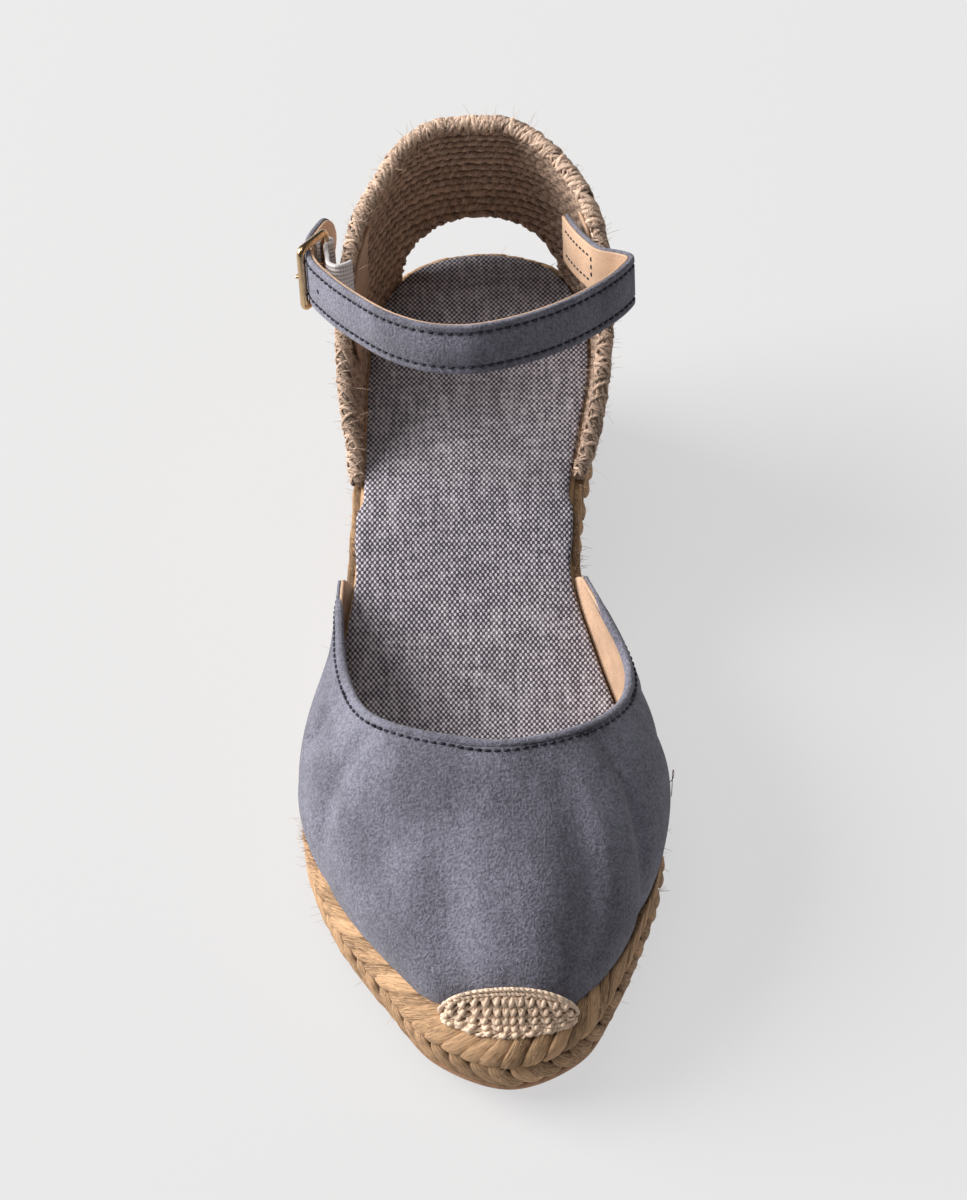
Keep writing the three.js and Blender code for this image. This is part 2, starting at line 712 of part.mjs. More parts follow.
function planeCurve(rows) {
  const points = rows.map((row) => new THREE.Vector3(row.across * counterWidth, row.along * counterReach, 0));
  return new THREE.CatmullRomCurve3(points, false, 'centripetal');
}

const strapSteps = 44;
const elasticSteps = 34;

// Flat band along a line in the strap's plane
function band(curve, width, thick, steps) {
  const left = [];
  const right = [];
  for (let i = 0; i <= steps; i++) {
    const p = curve.getPointAt(i / steps);
    const ahead = curve.getTangentAt(i / steps);
    left.push(new THREE.Vector2(p.x - (ahead.y * thick) / 2, p.y + (ahead.x * thick) / 2));
    right.push(new THREE.Vector2(p.x + (ahead.y * thick) / 2, p.y - (ahead.x * thick) / 2));
  }
  const shape = new THREE.Shape([...left, ...right.reverse()]);
  const geometry = new THREE.ExtrudeGeometry(shape, { depth: width, bevelEnabled: false, steps: 1 });
  geometry.translate(0, 0, -width / 2);
  return geometry;
}

function rod(from, to, diameter, sides = 8) {
  const span = to.clone().sub(from);
  const geometry = new THREE.CylinderGeometry(diameter / 2, diameter / 2, span.length(), sides);
  geometry.applyQuaternion(new THREE.Quaternion().setFromUnitVectors(
    new THREE.Vector3(0, 1, 0),
    span.clone().normalize(),
  ));
  geometry.translate(...from.clone().add(to).multiplyScalar(0.5));
  return solid(geometry);
}

function knob(centre, diameter) {
  const geometry = new THREE.SphereGeometry(diameter / 2, 8, 6);
  geometry.translate(...centre);
  return solid(geometry);
}

// The front bar lies outside the strap and the back bar inside it, past the elastic
const strapLine = planeCurve(strapRows);
const barRise = strapThick / 2 + gap + wire / 2;
const barDrop = strapThick / 2 + gap + elasticThick + gap + wire / 2;

function strapAcross(along) {
  let low = 0.6;
  let high = 1;
  for (let i = 0; i < 30; i++) {
    const middle = (low + high) / 2;
    if (strapLine.getPoint(middle).y > along) low = middle;
    else high = middle;
  }
  return strapLine.getPoint(low).x;
}

const frontAlong = frontBarAlong * counterReach;
const backAlong = frontAlong - barSpacing;
const frontBar = new THREE.Vector3(strapAcross(frontAlong) - barRise, frontAlong, 0);
const backBar = new THREE.Vector3(strapAcross(backAlong) + barDrop, backAlong, 0);
const prongRoot = backBar.clone().add(new THREE.Vector3(0, (wire + prongWire) / 2 + gap, 0));
const prongTip = (() => {
  const reach = frontBar.clone().sub(prongRoot);
  const tilt = Math.asin(((wire + prongWire) / 2 + gap) / reach.length());
  const turned = reach.applyAxisAngle(new THREE.Vector3(0, 0, 1), tilt);
  return prongRoot.clone().addScaledVector(turned, prongReach);
})();

function onWidth(point, share) {
  const sideShift = (strapWidth / 2 + gap + wire / 2) * share;
  return point.clone().add(new THREE.Vector3(0, 0, sideShift));
}

function buckleGeometry() {
  const corners = [onWidth(frontBar, -1), onWidth(frontBar, 1), onWidth(backBar, 1), onWidth(backBar, -1)];
  const parts = corners.flatMap((corner, i) => [knob(corner, wire), rod(corner, corners[(i + 1) % 4], wire)]);
  return meshed(parts.reduce((whole, part) => whole.add(part)));
}

function prongGeometry() {
  const ends = [knob(prongRoot, prongWire), knob(prongTip, prongWire)];
  return meshed(rod(prongRoot, prongTip, prongWire).add(ends[0]).add(ends[1]));
}

function strapGeometry() {
  const whole = solid(band(strapLine, strapWidth, strapThick, strapSteps));
  const hole = rod(
    prongRoot.clone().lerp(prongTip, -0.6),
    prongRoot.clone().lerp(prongTip, 0.98),
    holeWidth,
  );
  return meshed(whole.subtract(hole));
}

function elasticGeometry() {
  const radius = wire / 2 + gap + elasticThick / 2;
  const points = planeCurve(elasticRows).points;
  loopTurns.forEach((turn) => {
    const round = new THREE.Vector3(Math.cos(Math.PI * turn), Math.sin(Math.PI * turn), 0);
    points.push(backBar.clone().addScaledVector(round, radius));
  });
  const loop = new THREE.CatmullRomCurve3(points, false, 'centripetal');
  const whole = solid(band(loop, elasticWidth, elasticThick, elasticSteps));
  const notch = rod(
    prongRoot.clone().lerp(prongTip, -1),
    prongRoot.clone().lerp(prongTip, 0.6),
    prongWire + 2 * gap,
  );
  return meshed(whole.subtract(notch));
}

function matter(color, roughness, metalness = 0) {
  return new THREE.MeshStandardMaterial({ color, roughness, metalness });
}

const suede = matter('#6c6f80', 0.95);
const jute = matter('#c08f5c', 0.9);
const wovenJute = matter('#b99a78', 0.92);
const canvas = matter('#857f88', 0.9);
const rubber = matter('#b07a4c', 0.7);
const crochet = matter('#dcc3a0', 0.9);
const leather = matter('#e2b184', 0.6);
const gold = matter('#c9a26c', 0.3, 1);
const webbing = matter('#cfcac8', 0.85);

const group = new THREE.Group();

function place(name, geometry, material, parent) {
  const mesh = new THREE.Mesh(geometry, material);
  mesh.name = name;
  parent.add(mesh);
}

place('outsole', outsoleGeometry(), rubber, group);
place('wedge', wedgeGeometry(), jute, group);
place('insole', insoleGeometry(), canvas, group);
place('vamp', outsideOut(vampGeometry()), suede, group);
place('toe_patch', patchGeometry(), crochet, group);
place('counter', counterGeometry(), wovenJute, group);
place('lateral_lining', liningGeometry(liningSpans.lateral), leather, group);
place('medial_lining', liningGeometry(liningSpans.medial), leather, group);

const strapGroup = new THREE.Group();
strapGroup.applyMatrix4(strapPlane);
group.add(strapGroup);
place('strap', strapGeometry(), suede, strapGroup);
place('elastic', elasticGeometry(), webbing, strapGroup);
place('buckle', buckleGeometry(), gold, strapGroup);
place('prong', prongGeometry(), gold, strapGroup);

export default group;
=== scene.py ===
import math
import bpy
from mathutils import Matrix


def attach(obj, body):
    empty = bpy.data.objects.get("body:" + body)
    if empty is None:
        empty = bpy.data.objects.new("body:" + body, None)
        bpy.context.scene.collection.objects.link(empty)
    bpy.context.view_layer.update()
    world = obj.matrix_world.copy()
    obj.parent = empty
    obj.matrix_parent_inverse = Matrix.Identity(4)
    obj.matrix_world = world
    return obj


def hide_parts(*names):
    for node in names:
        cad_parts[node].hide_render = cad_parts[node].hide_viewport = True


bl_info = {
    "name": "Wedge Espadrille",
    "version": (1, 0, 0),
    "blender": (4, 5, 0),
    "location": "View3D > Sidebar > Espadrille",
    "description": "Dresses the solids of a wedge espadrille in suede, canvas, jute and gold metal",
    "category": "Object",
}

import bpy
import numpy as np
from bpy.props import FloatProperty, FloatVectorProperty, IntProperty, PointerProperty
from mathutils import Matrix, Vector

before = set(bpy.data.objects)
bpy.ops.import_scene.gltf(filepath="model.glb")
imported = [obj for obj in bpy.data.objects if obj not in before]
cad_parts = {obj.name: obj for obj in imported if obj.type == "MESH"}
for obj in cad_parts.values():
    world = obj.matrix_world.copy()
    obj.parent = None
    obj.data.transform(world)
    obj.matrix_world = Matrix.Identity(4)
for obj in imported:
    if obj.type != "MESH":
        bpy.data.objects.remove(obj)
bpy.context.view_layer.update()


# ---- Tables: shares of named sizes ----

class Table:
    """Rows of a table as named columns, with smooth values between its rows."""

    def __init__(self, columns, *rows):
        self.columns = dict(zip(columns.split(), np.array(rows, float).T))
        self.key = columns.split()[0]

    def __getitem__(self, name):
        return self.columns[name]

    def at(self, name, place):
        return follow(self[self.key], self[name], place)


def follow(keys, values, place):
    """Smooth value between the rows of a table, without overshoot."""
    place = np.clip(place, keys[0], keys[-1])
    slope = np.diff(values) / np.diff(keys)
    total = slope[:-1] + slope[1:]
    same = slope[:-1] * slope[1:] > 0
    inner = np.where(same, 2 * slope[:-1] * slope[1:] / np.where(same, total, 1), 0)
    bend = np.concatenate([slope[:1], inner, slope[-1:]])
    i = np.clip(np.searchsorted(keys, place, side="right") - 1, 0, len(keys) - 2)
    width = keys[i + 1] - keys[i]
    s = (place - keys[i]) / width
    rise = values[i] + (values[i + 1] - values[i]) * s * s * (3 - 2 * s)
    return rise + width * (bend[i] * s * (1 - s) ** 2 - bend[i + 1] * s * s * (1 - s))


OUTLINE = Table(
    "along lateral medial lateral_set medial_set",
    (0.024, 0.215, 0.215, 0.055, 0.055),
    (0.093, 0.333, 0.33, 0.055, 0.055),
    (0.177, 0.359, 0.35, 0.055, 0.055),
    (0.262, 0.365, 0.318, 0.055, 0.055),
    (0.346, 0.372, 0.284, 0.055, 0.055),
    (0.431, 0.39, 0.282, 0.055, 0.045),
    (0.515, 0.434, 0.344, 0.055, 0.03),
    (0.612, 0.489, 0.43, 0.055, 0.03),
    (0.692, 0.507, 0.484, 0.085, 0.03),
    (0.762, 0.473, 0.478, 0.2, 0.05),
    (0.834, 0.387, 0.424, 0.29, 0.09),
    (0.9, 0.272, 0.358, 0.37, 0.2),
    (0.965, 0.145, 0.263, 0.64, 0.46),
)
TOE_ACROSS = 0.068
WEDGE_ROWS = 4
INSOLE_EASE = 1.16

FOOTBED = Table(
    "along rise spring",
    (0, 1, 0), (0.086, 0.971, 0), (0.171, 0.913, 0), (0.257, 0.826, 0), (0.343, 0.71, 0),
    (0.407, 0.565, 0), (0.471, 0.377, 0), (0.535, 0.203, 0), (0.6, 0.087, 0),
    (0.685, 0.015, 0.05), (0.77, 0, 0.12), (0.9, 0, 0.4), (1, 0, 0.75),
)
UNDERSIDE = Table(
    "along bevel arch spring",
    (0, 1, 0, 0), (0.034, 0, 0, 0), (0.3, 0, 0, 0), (0.43, 0, 1, 0), (0.557, 0, 0, 0),
    (0.72, 0, 0, 0), (0.835, 0, 0, 0.25), (0.92, 0, 0, 0.6), (1, 0, 0, 1),
)
VAMP = Table(
    "foot side along across rise lean reach drop",
    (0.431, -1, 0.433, -0.398, 0.005, 0.003, 0, 0.4),
    (0.473, -1, 0.473, -0.397, 0.18, 0.009, 0.006, 0.35),
    (0.523, -1, 0.514, -0.388, 0.355, 0.016, 0.022, 0.35),
    (0.582, -1, 0.557, -0.375, 0.49, 0.026, 0.054, 0.3),
    (0.641, -1, 0.599, -0.354, 0.62, 0.038, 0.086, 0.28),
    (0.7, -1, 0.637, -0.322, 0.722, 0.042, 0.129, 0.27),
    (0.76, -1, 0.669, -0.272, 0.83, 0.04, 0.172, 0.28),
    (0.827, -1, 0.694, -0.187, 0.918, 0.034, 0.215, 0.3),
    (0.91, -1, 0.712, -0.077, 0.978, 0.028, 0.247, 0.32),
    (1, 1, 0.721, 0.045, 0.993, 0.022, 0.269, 0.33),
    (0.917, 1, 0.718, 0.155, 0.985, 0.03, 0.237, 0.32),
    (0.842, 1, 0.705, 0.247, 0.948, 0.042, 0.204, 0.3),
    (0.776, 1, 0.684, 0.322, 0.88, 0.05, 0.161, 0.28),
    (0.717, 1, 0.656, 0.374, 0.788, 0.055, 0.114, 0.27),
    (0.658, 1, 0.625, 0.398, 0.688, 0.055, 0.07, 0.28),
    (0.599, 1, 0.588, 0.4, 0.59, 0.045, 0.038, 0.3),
    (0.536, 1, 0.544, 0.377, 0.455, 0.036, 0.014, 0.35),
    (0.481, 1, 0.49, 0.33, 0.27, 0.016, 0.008, 0.35),
    (0.431, 1, 0.436, 0.287, 0.005, 0.003, 0, 0.4),
)
CLIMB = 0.38
CREASES = Table(
    "place level tall wide deep",
    (8.6, 0.30, 0.9, 0.22, 0.0019),
    (9.7, 0.34, 0.7, 0.26, 0.0027),
    (11.2, 0.45, 0.8, 0.22, 0.0021),
    (13.6, 0.5, 0.6, 0.26, 0.0025),
    (14.6, 0.42, 0.5, 0.26, 0.0023),
    (4.6, 0.62, 0.5, 0.2, 0.0019),
    (6.4, 0.5, 0.8, 0.26, 0.0017),
)
COUNTER = Table(
    "foot along lateral medial rise bulge",
    (0, 0.083, 0, 0, 1, 0.07),
    (0.016, 0.089, 0.105, 0.108, 0.998, 0.07),
    (0.06, 0.135, 0.2, 0.21, 0.982, 0.065),
    (0.125, 0.195, 0.262, 0.282, 0.955, 0.06),
    (0.21, 0.27, 0.315, 0.35, 0.915, 0.055),
    (0.34, 0.38, 0.39, 0.418, 0.845, 0.045),
    (0.48, 0.5, 0.442, 0.455, 0.72, 0.035),
    (0.63, 0.64, 0.472, 0.462, 0.53, 0.025),
    (0.77, 0.775, 0.476, 0.445, 0.34, 0.015),
    (0.89, 0.89, 0.458, 0.41, 0.165, 0.01),
    (1, 1, 0.452, 0.355, 0.05, 0),
)
CORE_HALF = 0.0006
STRAP = Table(
    "across along",
    (0.33, -0.24), (0.36, -0.14), (0.396, -0.05), (0.45, 0.044), (0.52, 0.08), (0.553, 0.11),
    (0.53, 0.185), (0.43, 0.335), (0.3, 0.465), (0.16, 0.555), (0.01, 0.605), (-0.13, 0.585),
    (-0.26, 0.5), (-0.395, 0.34), (-0.505, 0.17), (-0.565, 0.04), (-0.58, -0.1),
    (-0.555, -0.22), (-0.515, -0.33),
)
STRAP_SLOPE = 0.4
BAR_AHEAD = 0.035
BUCKLE_CORNER = 0.0016
PRONG_REACH = 1.02
SEWN_END = 0.021
ELASTIC = Table(
    "across along",
    (-0.326, -0.2), (-0.368, -0.1), (-0.402, 0), (-0.434, 0.066), (-0.472, 0.085),
    (-0.5, 0.062), (-0.51, 0),
)


# ---- Settings that a user would change ----

def length(name, description, default):
    return FloatProperty(name=name, description=description, default=default, unit="LENGTH", precision=4)


def tint(name, description, default):
    return FloatVectorProperty(
        name=name, description=description, default=default, subtype="COLOR", size=3, min=0, max=1)


class EspadrilleSizes(bpy.types.PropertyGroup):
    """Sizes of the shoe, the same as those of its solids"""
    sole_length: length("Sole length", "Length of the sole", 0.237)
    ball_width: length("Ball width", "Width of the sole across the ball of the foot", 0.093)
    heel_height: length("Heel height", "Height of the footbed at the heel", 0.0575)
    fore_height: length("Fore height", "Height of the footbed at the ball", 0.023)
    toe_spring: length("Toe spring", "Lift of the toe off the floor", 0.0055)
    arch_lift: length("Arch lift", "Lift of the waist off the floor", 0.0022)
    heel_bevel: length("Heel bevel", "Lift of the back edge of the heel", 0.0012)
    outsole_thick: length("Outsole", "Thickness of the rubber outsole", 0.003)
    outsole_setback: length("Outsole setback", "How far the rubber stays inside the braid", 0.0012)
    insole_thick: length("Insole", "Thickness of the insole", 0.0025)
    platform_depth: length("Platform depth", "Height of the platform braid", 0.0172)
    row_height: length("Row height", "Height of one braid row of the wedge", 0.0117)
    rib_depth: length("Rib depth", "Depth of the grooves between braid rows", 0.0026)
    heel_taper: length("Heel taper", "How far the wedge narrows down to the floor", 0.0058)
    rest_from_heel: length("Rest from heel", "Distance of the origin from the back of the heel", 0.038)
    vamp_height: length("Vamp height", "Height of the topline over the footbed", 0.04)
    vamp_wall: length("Vamp wall", "Thickness of the suede and its lining", 0.0018)
    topline_thick: length("Topline", "Thickness of the bound topline", 0.0024)
    toe_setback: length("Toe setback", "How far the upper stands inside the braid at the toe", 0.011)
    waist_setback: length("Waist setback", "How far the insole stays inside the braid at the waist", 0.0018)
    counter_reach: length("Counter reach", "Length of the heel counter", 0.076)
    counter_height: length("Counter height", "Height of the heel counter", 0.057)
    counter_width: length("Counter width", "Width of the heel counter", 0.074)
    counter_wall: length("Counter wall", "Thickness of the woven wall", 0.0026)
    counter_edge: length("Counter edge", "Thickness of the rolled edge", 0.004)
    counter_roll: length("Counter roll", "Height of the rolled edge", 0.005)
    counter_setback: length("Counter setback", "Distance of the counter from the sole's edge", 0.0003)
    window_height: length("Window height", "Height of the opening at the back", 0.0143)
    patch_width: length("Patch width", "Width of the crocheted toe patch", 0.031)
    patch_rise: length("Patch rise", "Height of the crocheted toe patch", 0.010)
    strap_width: length("Strap width", "Width of the ankle strap", 0.0135)
    strap_thick: length("Strap thickness", "Thickness of the ankle strap", 0.0022)
    strap_from_heel: length("Strap from heel", "Distance of the strap's plane from the back", 0.0415)
    strap_height: length("Strap height", "Height of the strap's plane", 0.092)
    wire: length("Buckle wire", "Thickness of the buckle's frame", 0.0022)
    prong_wire: length("Prong wire", "Thickness of the prong", 0.0015)
    bar_spacing: length("Bar spacing", "Distance between the buckle's bars", 0.0116)
    elastic_width: length("Elastic width", "Width of the elastic", 0.0115)
    elastic_thick: length("Elastic thickness", "Thickness of the elastic", 0.0011)
    lining_thick: length("Lining", "Thickness of the leather pieces inside the counter", 0.0012)
    gap: length("Gap", "Clearance between pieces", 0.0003)
    fit: length("Fit", "Clearance of pieces that curve past each other", 0.0005)
    window_turn: FloatProperty(
        name="Window turn", description="Share of the way round at which the back opening ends",
        default=0.265)


class EspadrilleDetail(bpy.types.PropertyGroup):
    """Pitch and thickness of braid, weave, yarn and thread"""
    plait_pitch: length("Plait pitch", "Spacing of the strands of the platform braid", 0.0055)
    row_pitch: length("Row pitch", "Spacing of the strands of the wedge braid", 0.0064)
    knit_pitch: length("Knit pitch", "Height of one row of the woven counter", 0.0028)
    stitch_pitch: length("Stitch pitch", "Length of one seam stitch", 0.0027)
    thread: length("Thread", "Thickness of the sewing thread", 0.0006)
    yarn: length("Yarn", "Thickness of the crochet yarn", 0.0015)
    whip_pitch: length("Whip pitch", "Spacing of the yarns wrapped over the counter's edge", 0.0017)
    fibre: length("Fibre", "Thickness of one loose fibre", 0.00016)
    seed: IntProperty(name="Seed", description="Start of the small irregularities", default=7)


class EspadrilleColors(bpy.types.PropertyGroup):
    """Colours of the finishes"""
    suede: tint("Suede", "Blue grey suede", (0.188, 0.186, 0.232))
    jute: tint("Jute", "Braided jute", (0.50, 0.31, 0.175))
    weave: tint("Woven jute", "Jute yarn of the counter", (0.58, 0.42, 0.32))
    crochet: tint("Crochet", "Cream yarn of the toe patch", (0.80, 0.61, 0.46))
    canvas: tint("Canvas", "Light threads of the insole canvas", (0.80, 0.75, 0.81))
    rubber: tint("Rubber", "Tan rubber of the outsole", (0.38, 0.20, 0.105))
    leather: tint("Leather", "Tan lining leather", (0.60, 0.40, 0.27))
    webbing: tint("Webbing", "Ribbed elastic", (0.76, 0.73, 0.74))
    metal: tint("Metal", "Pale gold buckle", (0.66, 0.47, 0.28))
    thread: tint("Thread", "Dark sewing thread", (0.02, 0.021, 0.03))


class EspadrilleStage(bpy.types.PropertyGroup):
    """Camera, floor and lights"""
    camera_place: FloatVectorProperty(
        name="Camera place", description="Where the camera stands", default=(0.0362, -0.5803, 0.7092),
        subtype="TRANSLATION", unit="LENGTH")
    camera_down: FloatProperty(
        name="Camera down", description="How far the camera looks down", default=math.radians(52),
        subtype="ANGLE")
    camera_yaw: FloatProperty(
        name="Camera yaw", description="Turn of the camera to the shoe", default=math.radians(-2),
        subtype="ANGLE")
    aim_shift: FloatVectorProperty(
        name="Aim shift", description="How far the view is shifted right and up", size=2,
        default=(-0.0637, -0.0154))
    lens: FloatProperty(name="Lens", description="Focal length on a 36 mm tall sensor", default=96.7)
    floor_size: length("Floor", "Side of the floor", 6.0)
    floor_color: tint("Floor colour", "Pale floor", (0.17, 0.168, 0.165))
    floor_glow: FloatProperty(name="Floor glow", description="Evenness of the pale floor", default=0.60)
    key_power: FloatProperty(name="Key light", description="Power of the main light", default=300.0)
    world_strength: FloatProperty(name="Sky", description="Strength of the surrounding light", default=0.05)


# ---- Curves and surfaces of the shoe ----

def unit(vectors):
    return vectors / np.maximum(np.linalg.norm(vectors, axis=-1, keepdims=True), 1e-12)


def lerp(a, b, t):
    return a + (b - a) * t


def smoothstep(x, low, high):
    t = np.clip((x - low) / (high - low), 0, 1)
    return t * t * (3 - 2 * t)


class Spline:
    """Catmull-Rom curve through points, centripetal or with even steps."""

    def __init__(self, points, closed=False, even=False):
        points = np.asarray(points, float)
        if closed:
            padded = np.concatenate([points[-1:], points, points[:2]])
        else:
            padded = np.concatenate([2 * points[:1] - points[1:2], points, 2 * points[-1:] - points[-2:-1]])
        p0, p1, p2, p3 = padded[:-3], padded[1:-2], padded[2:-1], padded[3:]
        if even:
            t1, t2 = 0.5 * (p2 - p0), 0.5 * (p3 - p1)
        else:
            d0, d1, d2 = [np.sqrt(np.linalg.norm(b - a, axis=1))[:, None] for a, b in
                          ((p0, p1), (p1, p2), (p2, p3))]
            t1 = ((p1 - p0) / d0 - (p2 - p0) / (d0 + d1) + (p2 - p1) / d1) * d1
            t2 = ((p2 - p1) / d1 - (p3 - p1) / (d1 + d2) + (p3 - p2) / d2) * d1
        self.terms = p1, t1, -3 * p1 + 3 * p2 - 2 * t1 - t2, 2 * p1 - 2 * p2 + t1 + t2
        self.count = len(p1)
        self.closed = closed
        self.steps = np.linspace(0, 1, 2401)
        leaps = np.linalg.norm(np.diff(self(self.steps), axis=0), axis=1)
        self.travel = np.concatenate([[0], np.cumsum(leaps)])
        self.length = self.travel[-1]

    def _split(self, t):
        t = np.asarray(t, float)
        spot = (t % 1.0 if self.closed else np.clip(t, 0, 1)) * self.count
        i = np.minimum(spot.astype(int), self.count - 1)
        return i, (spot - i)[..., None]

    def __call__(self, t):
        i, w = self._split(t)
        c0, c1, c2, c3 = self.terms
        return ((c3[i] * w + c2[i]) * w + c1[i]) * w + c0[i]

    def ahead(self, t):
        i, w = self._split(t)
        c1, c2, c3 = self.terms[1:]
        return unit((3 * c3[i] * w + 2 * c2[i]) * w + c1[i])

    def param(self, distance):
        """Place on the curve at a distance from its start."""
        turns = np.floor(distance / self.length) if self.closed else 0
        return np.interp(distance - turns * self.length, self.travel, self.steps)


class Sole:
    """Outline and heights of the sole."""

    def __init__(self, size):
        self.size = size
        across = size.ball_width
        lateral = self.at(OUTLINE["along"] * size.sole_length, -OUTLINE["lateral"] * across, 0)
        medial = self.at(OUTLINE["along"] * size.sole_length, OUTLINE["medial"] * across, 0)
        toe = self.at(size.sole_length, TOE_ACROSS * across, 0)
        heel = self.at(0, 0, 0)
        self.line = Spline(np.vstack([heel, lateral, toe, medial[::-1]]), closed=True)
        steps = self.line.steps
        alongs = self.along_of(self.line(steps))
        half = len(steps) // 2
        self.sides = {-1: (alongs[:half + 1], steps[:half + 1]),
                      1: (alongs[half:][::-1], steps[half:][::-1])}

    def at(self, along, across, height):
        along, across, height = np.broadcast_arrays(along, across, height)
        return np.stack([across, self.size.rest_from_heel - along, height], axis=-1).astype(float)

    def along_of(self, points):
        return self.size.rest_from_heel - points[..., 1]

    def param_at(self, along, side):
        return np.interp(along, *self.sides[side])

    def outward(self, param):
        ahead = self.line.ahead(param)
        return unit(np.stack([ahead[..., 1], -ahead[..., 0], 0 * ahead[..., 0]], axis=-1))

    def edge(self, param, inset):
        return self.line(param) - self.outward(param) * np.asarray(inset)[..., None]

    def footbed(self, along):
        size, share = self.size, along / self.size.sole_length
        rise = (size.heel_height - size.fore_height) * FOOTBED.at("rise", share)
        return size.fore_height + rise + size.toe_spring * FOOTBED.at("spring", share)

    def underside(self, along):
        size, share = self.size, along / self.size.sole_length
        return (size.heel_bevel * UNDERSIDE.at("bevel", share) + size.arch_lift * UNDERSIDE.at("arch", share)
                + size.toe_spring * UNDERSIDE.at("spring", share))

    def braid_top(self, along):
        return self.footbed(along) - self.size.insole_thick - self.size.gap

    def platform_bottom(self, along):
        size = self.size
        floor = self.underside(along) + size.outsole_thick + size.gap
        return np.maximum(self.braid_top(along) - size.platform_depth, floor)

    def taper(self, along, height):
        size = self.size
        low = np.maximum(0, 1 - height / (3 * size.row_height))
        fore = smoothstep(along, size.sole_length / 3, 0.6 * size.sole_length)
        return size.heel_taper * low * (1 - fore)

    def feather(self, param):
        """How far the foot of the upper stands inside the braid."""
        param = np.asarray(param, float) % 1.0
        share = self.along_of(self.line(param)) / self.size.sole_length
        keys = np.concatenate([[0], OUTLINE["along"], [1]])
        sets = [follow(keys, np.concatenate([OUTLINE[name][:1], OUTLINE[name], [1]]), share)
                for name in ("lateral_set", "medial_set")]
        return self.size.toe_setback * np.where(param < 0.5, *sets)

    def insole_inset(self, param):
        size = self.size
        along = self.along_of(self.line(param))
        heel = size.counter_setback + size.counter_wall + size.fit
        fore = INSOLE_EASE * self.feather(param) + size.vamp_wall + size.fit
        start = VAMP["foot"][0] * size.sole_length
        reach = size.counter_reach + size.counter_roll
        waist = lerp(heel, size.waist_setback, smoothstep(along, reach, reach + size.counter_roll))
        return lerp(waist, fore, smoothstep(along, start - size.toe_setback, start - size.gap))

    def platform(self, param, level, stand=0.0):
        """Point on the side of the platform braid: level 0 below, 0.5 at its groove, 1 at the upper."""
        size = self.size
        param, level, stand = np.broadcast_arrays(param, level, stand)
        turn = np.clip(level - 0.5, 0, 0.5) * math.pi
        depth = np.where(level < 0.5, 1.16 * level, 0.58 + 0.42 * np.sin(turn))
        feather = self.feather(param)
        tuck = 0.6 + 0.45 * np.clip(1 - 4 * level, 0, 1) ** 2
        point = self.edge(param, size.rib_depth * tuck + (1 - np.cos(turn)) * feather)
        along = self.along_of(point)
        point[..., 2] = lerp(self.platform_bottom(along), self.braid_top(along), depth)
        lean = turn * np.minimum(1, feather / (0.4 * size.toe_setback))
        out = self.outward(param) * np.cos(lean)[..., None]
        out[..., 2] += np.sin(lean)
        return point + out * stand[..., None], out

    def wedge_side(self, param, height, stand=0.0):
        """Point on the side of the wedge at a height over its own foot."""
        size = self.size
        param, height, stand = np.broadcast_arrays(param, height, stand)
        along = self.along_of(self.line(param))
        point = self.edge(param, size.rib_depth * 0.8 + self.taper(along, height) - stand)
        sink = self.underside(along) * np.maximum(0, 1 - height / size.row_height)
        point[..., 2] = size.outsole_thick + size.gap + height + sink
        return point, self.outward(param)


class Vamp:
    """Middle of the vamp's wall: each place is a curve from its foot up to the topline."""

    def __init__(self, sole):
        self.sole = sole
        size = sole.size
        feet = [sole.param_at(foot * size.sole_length, int(side)) for foot, side in
                zip(VAMP["foot"], VAMP["side"])]
        self.last = len(feet) - 1
        names = ("along", "across", "rise", "lean", "reach", "drop")
        self.rows = Spline(np.column_stack([feet] + [VAMP[name] for name in names]), even=True)

    def curve(self, place):
        size, sole = self.sole.size, self.sole
        row = self.rows(np.asarray(place, float) / self.last)
        param, along, across, rise, lean, reach, drop = np.moveaxis(row, -1, 0)
        foot = sole.edge(param, sole.feather(param) + size.vamp_wall / 2)
        foot[..., 2] = sole.braid_top(sole.along_of(foot)) + size.gap
        along = along * size.sole_length
        top = sole.at(along, across * size.ball_width, sole.footbed(along) + rise * size.vamp_height)
        out = sole.outward(param)
        tall = top[..., 2] - foot[..., 2]
        low = foot + out * (lean * size.ball_width)[..., None]
        low[..., 2] += CLIMB * tall
        high = top + out * (reach * size.ball_width)[..., None]
        high[..., 2] -= drop * tall
        return foot, low, high, top

    def middle(self, place, level):
        place, level = np.broadcast_arrays(place, level)
        foot, low, high, top = self.curve(place)
        t = np.asarray(level, float)[..., None]
        s = 1 - t
        return foot * s ** 3 + 3 * low * s * s * t + 3 * high * s * t * t + top * t ** 3

    def surface(self, place, level, stand=0.0):
        """Point that stands off the middle of the wall, outward when stand is positive."""
        place, level, stand = np.broadcast_arrays(place, level, stand)
        normal = normal_of(self.middle, place, level, 0.01, 0.004, (0, self.last), (0, 1))
        return self.middle(place, level) + normal * stand[..., None], normal


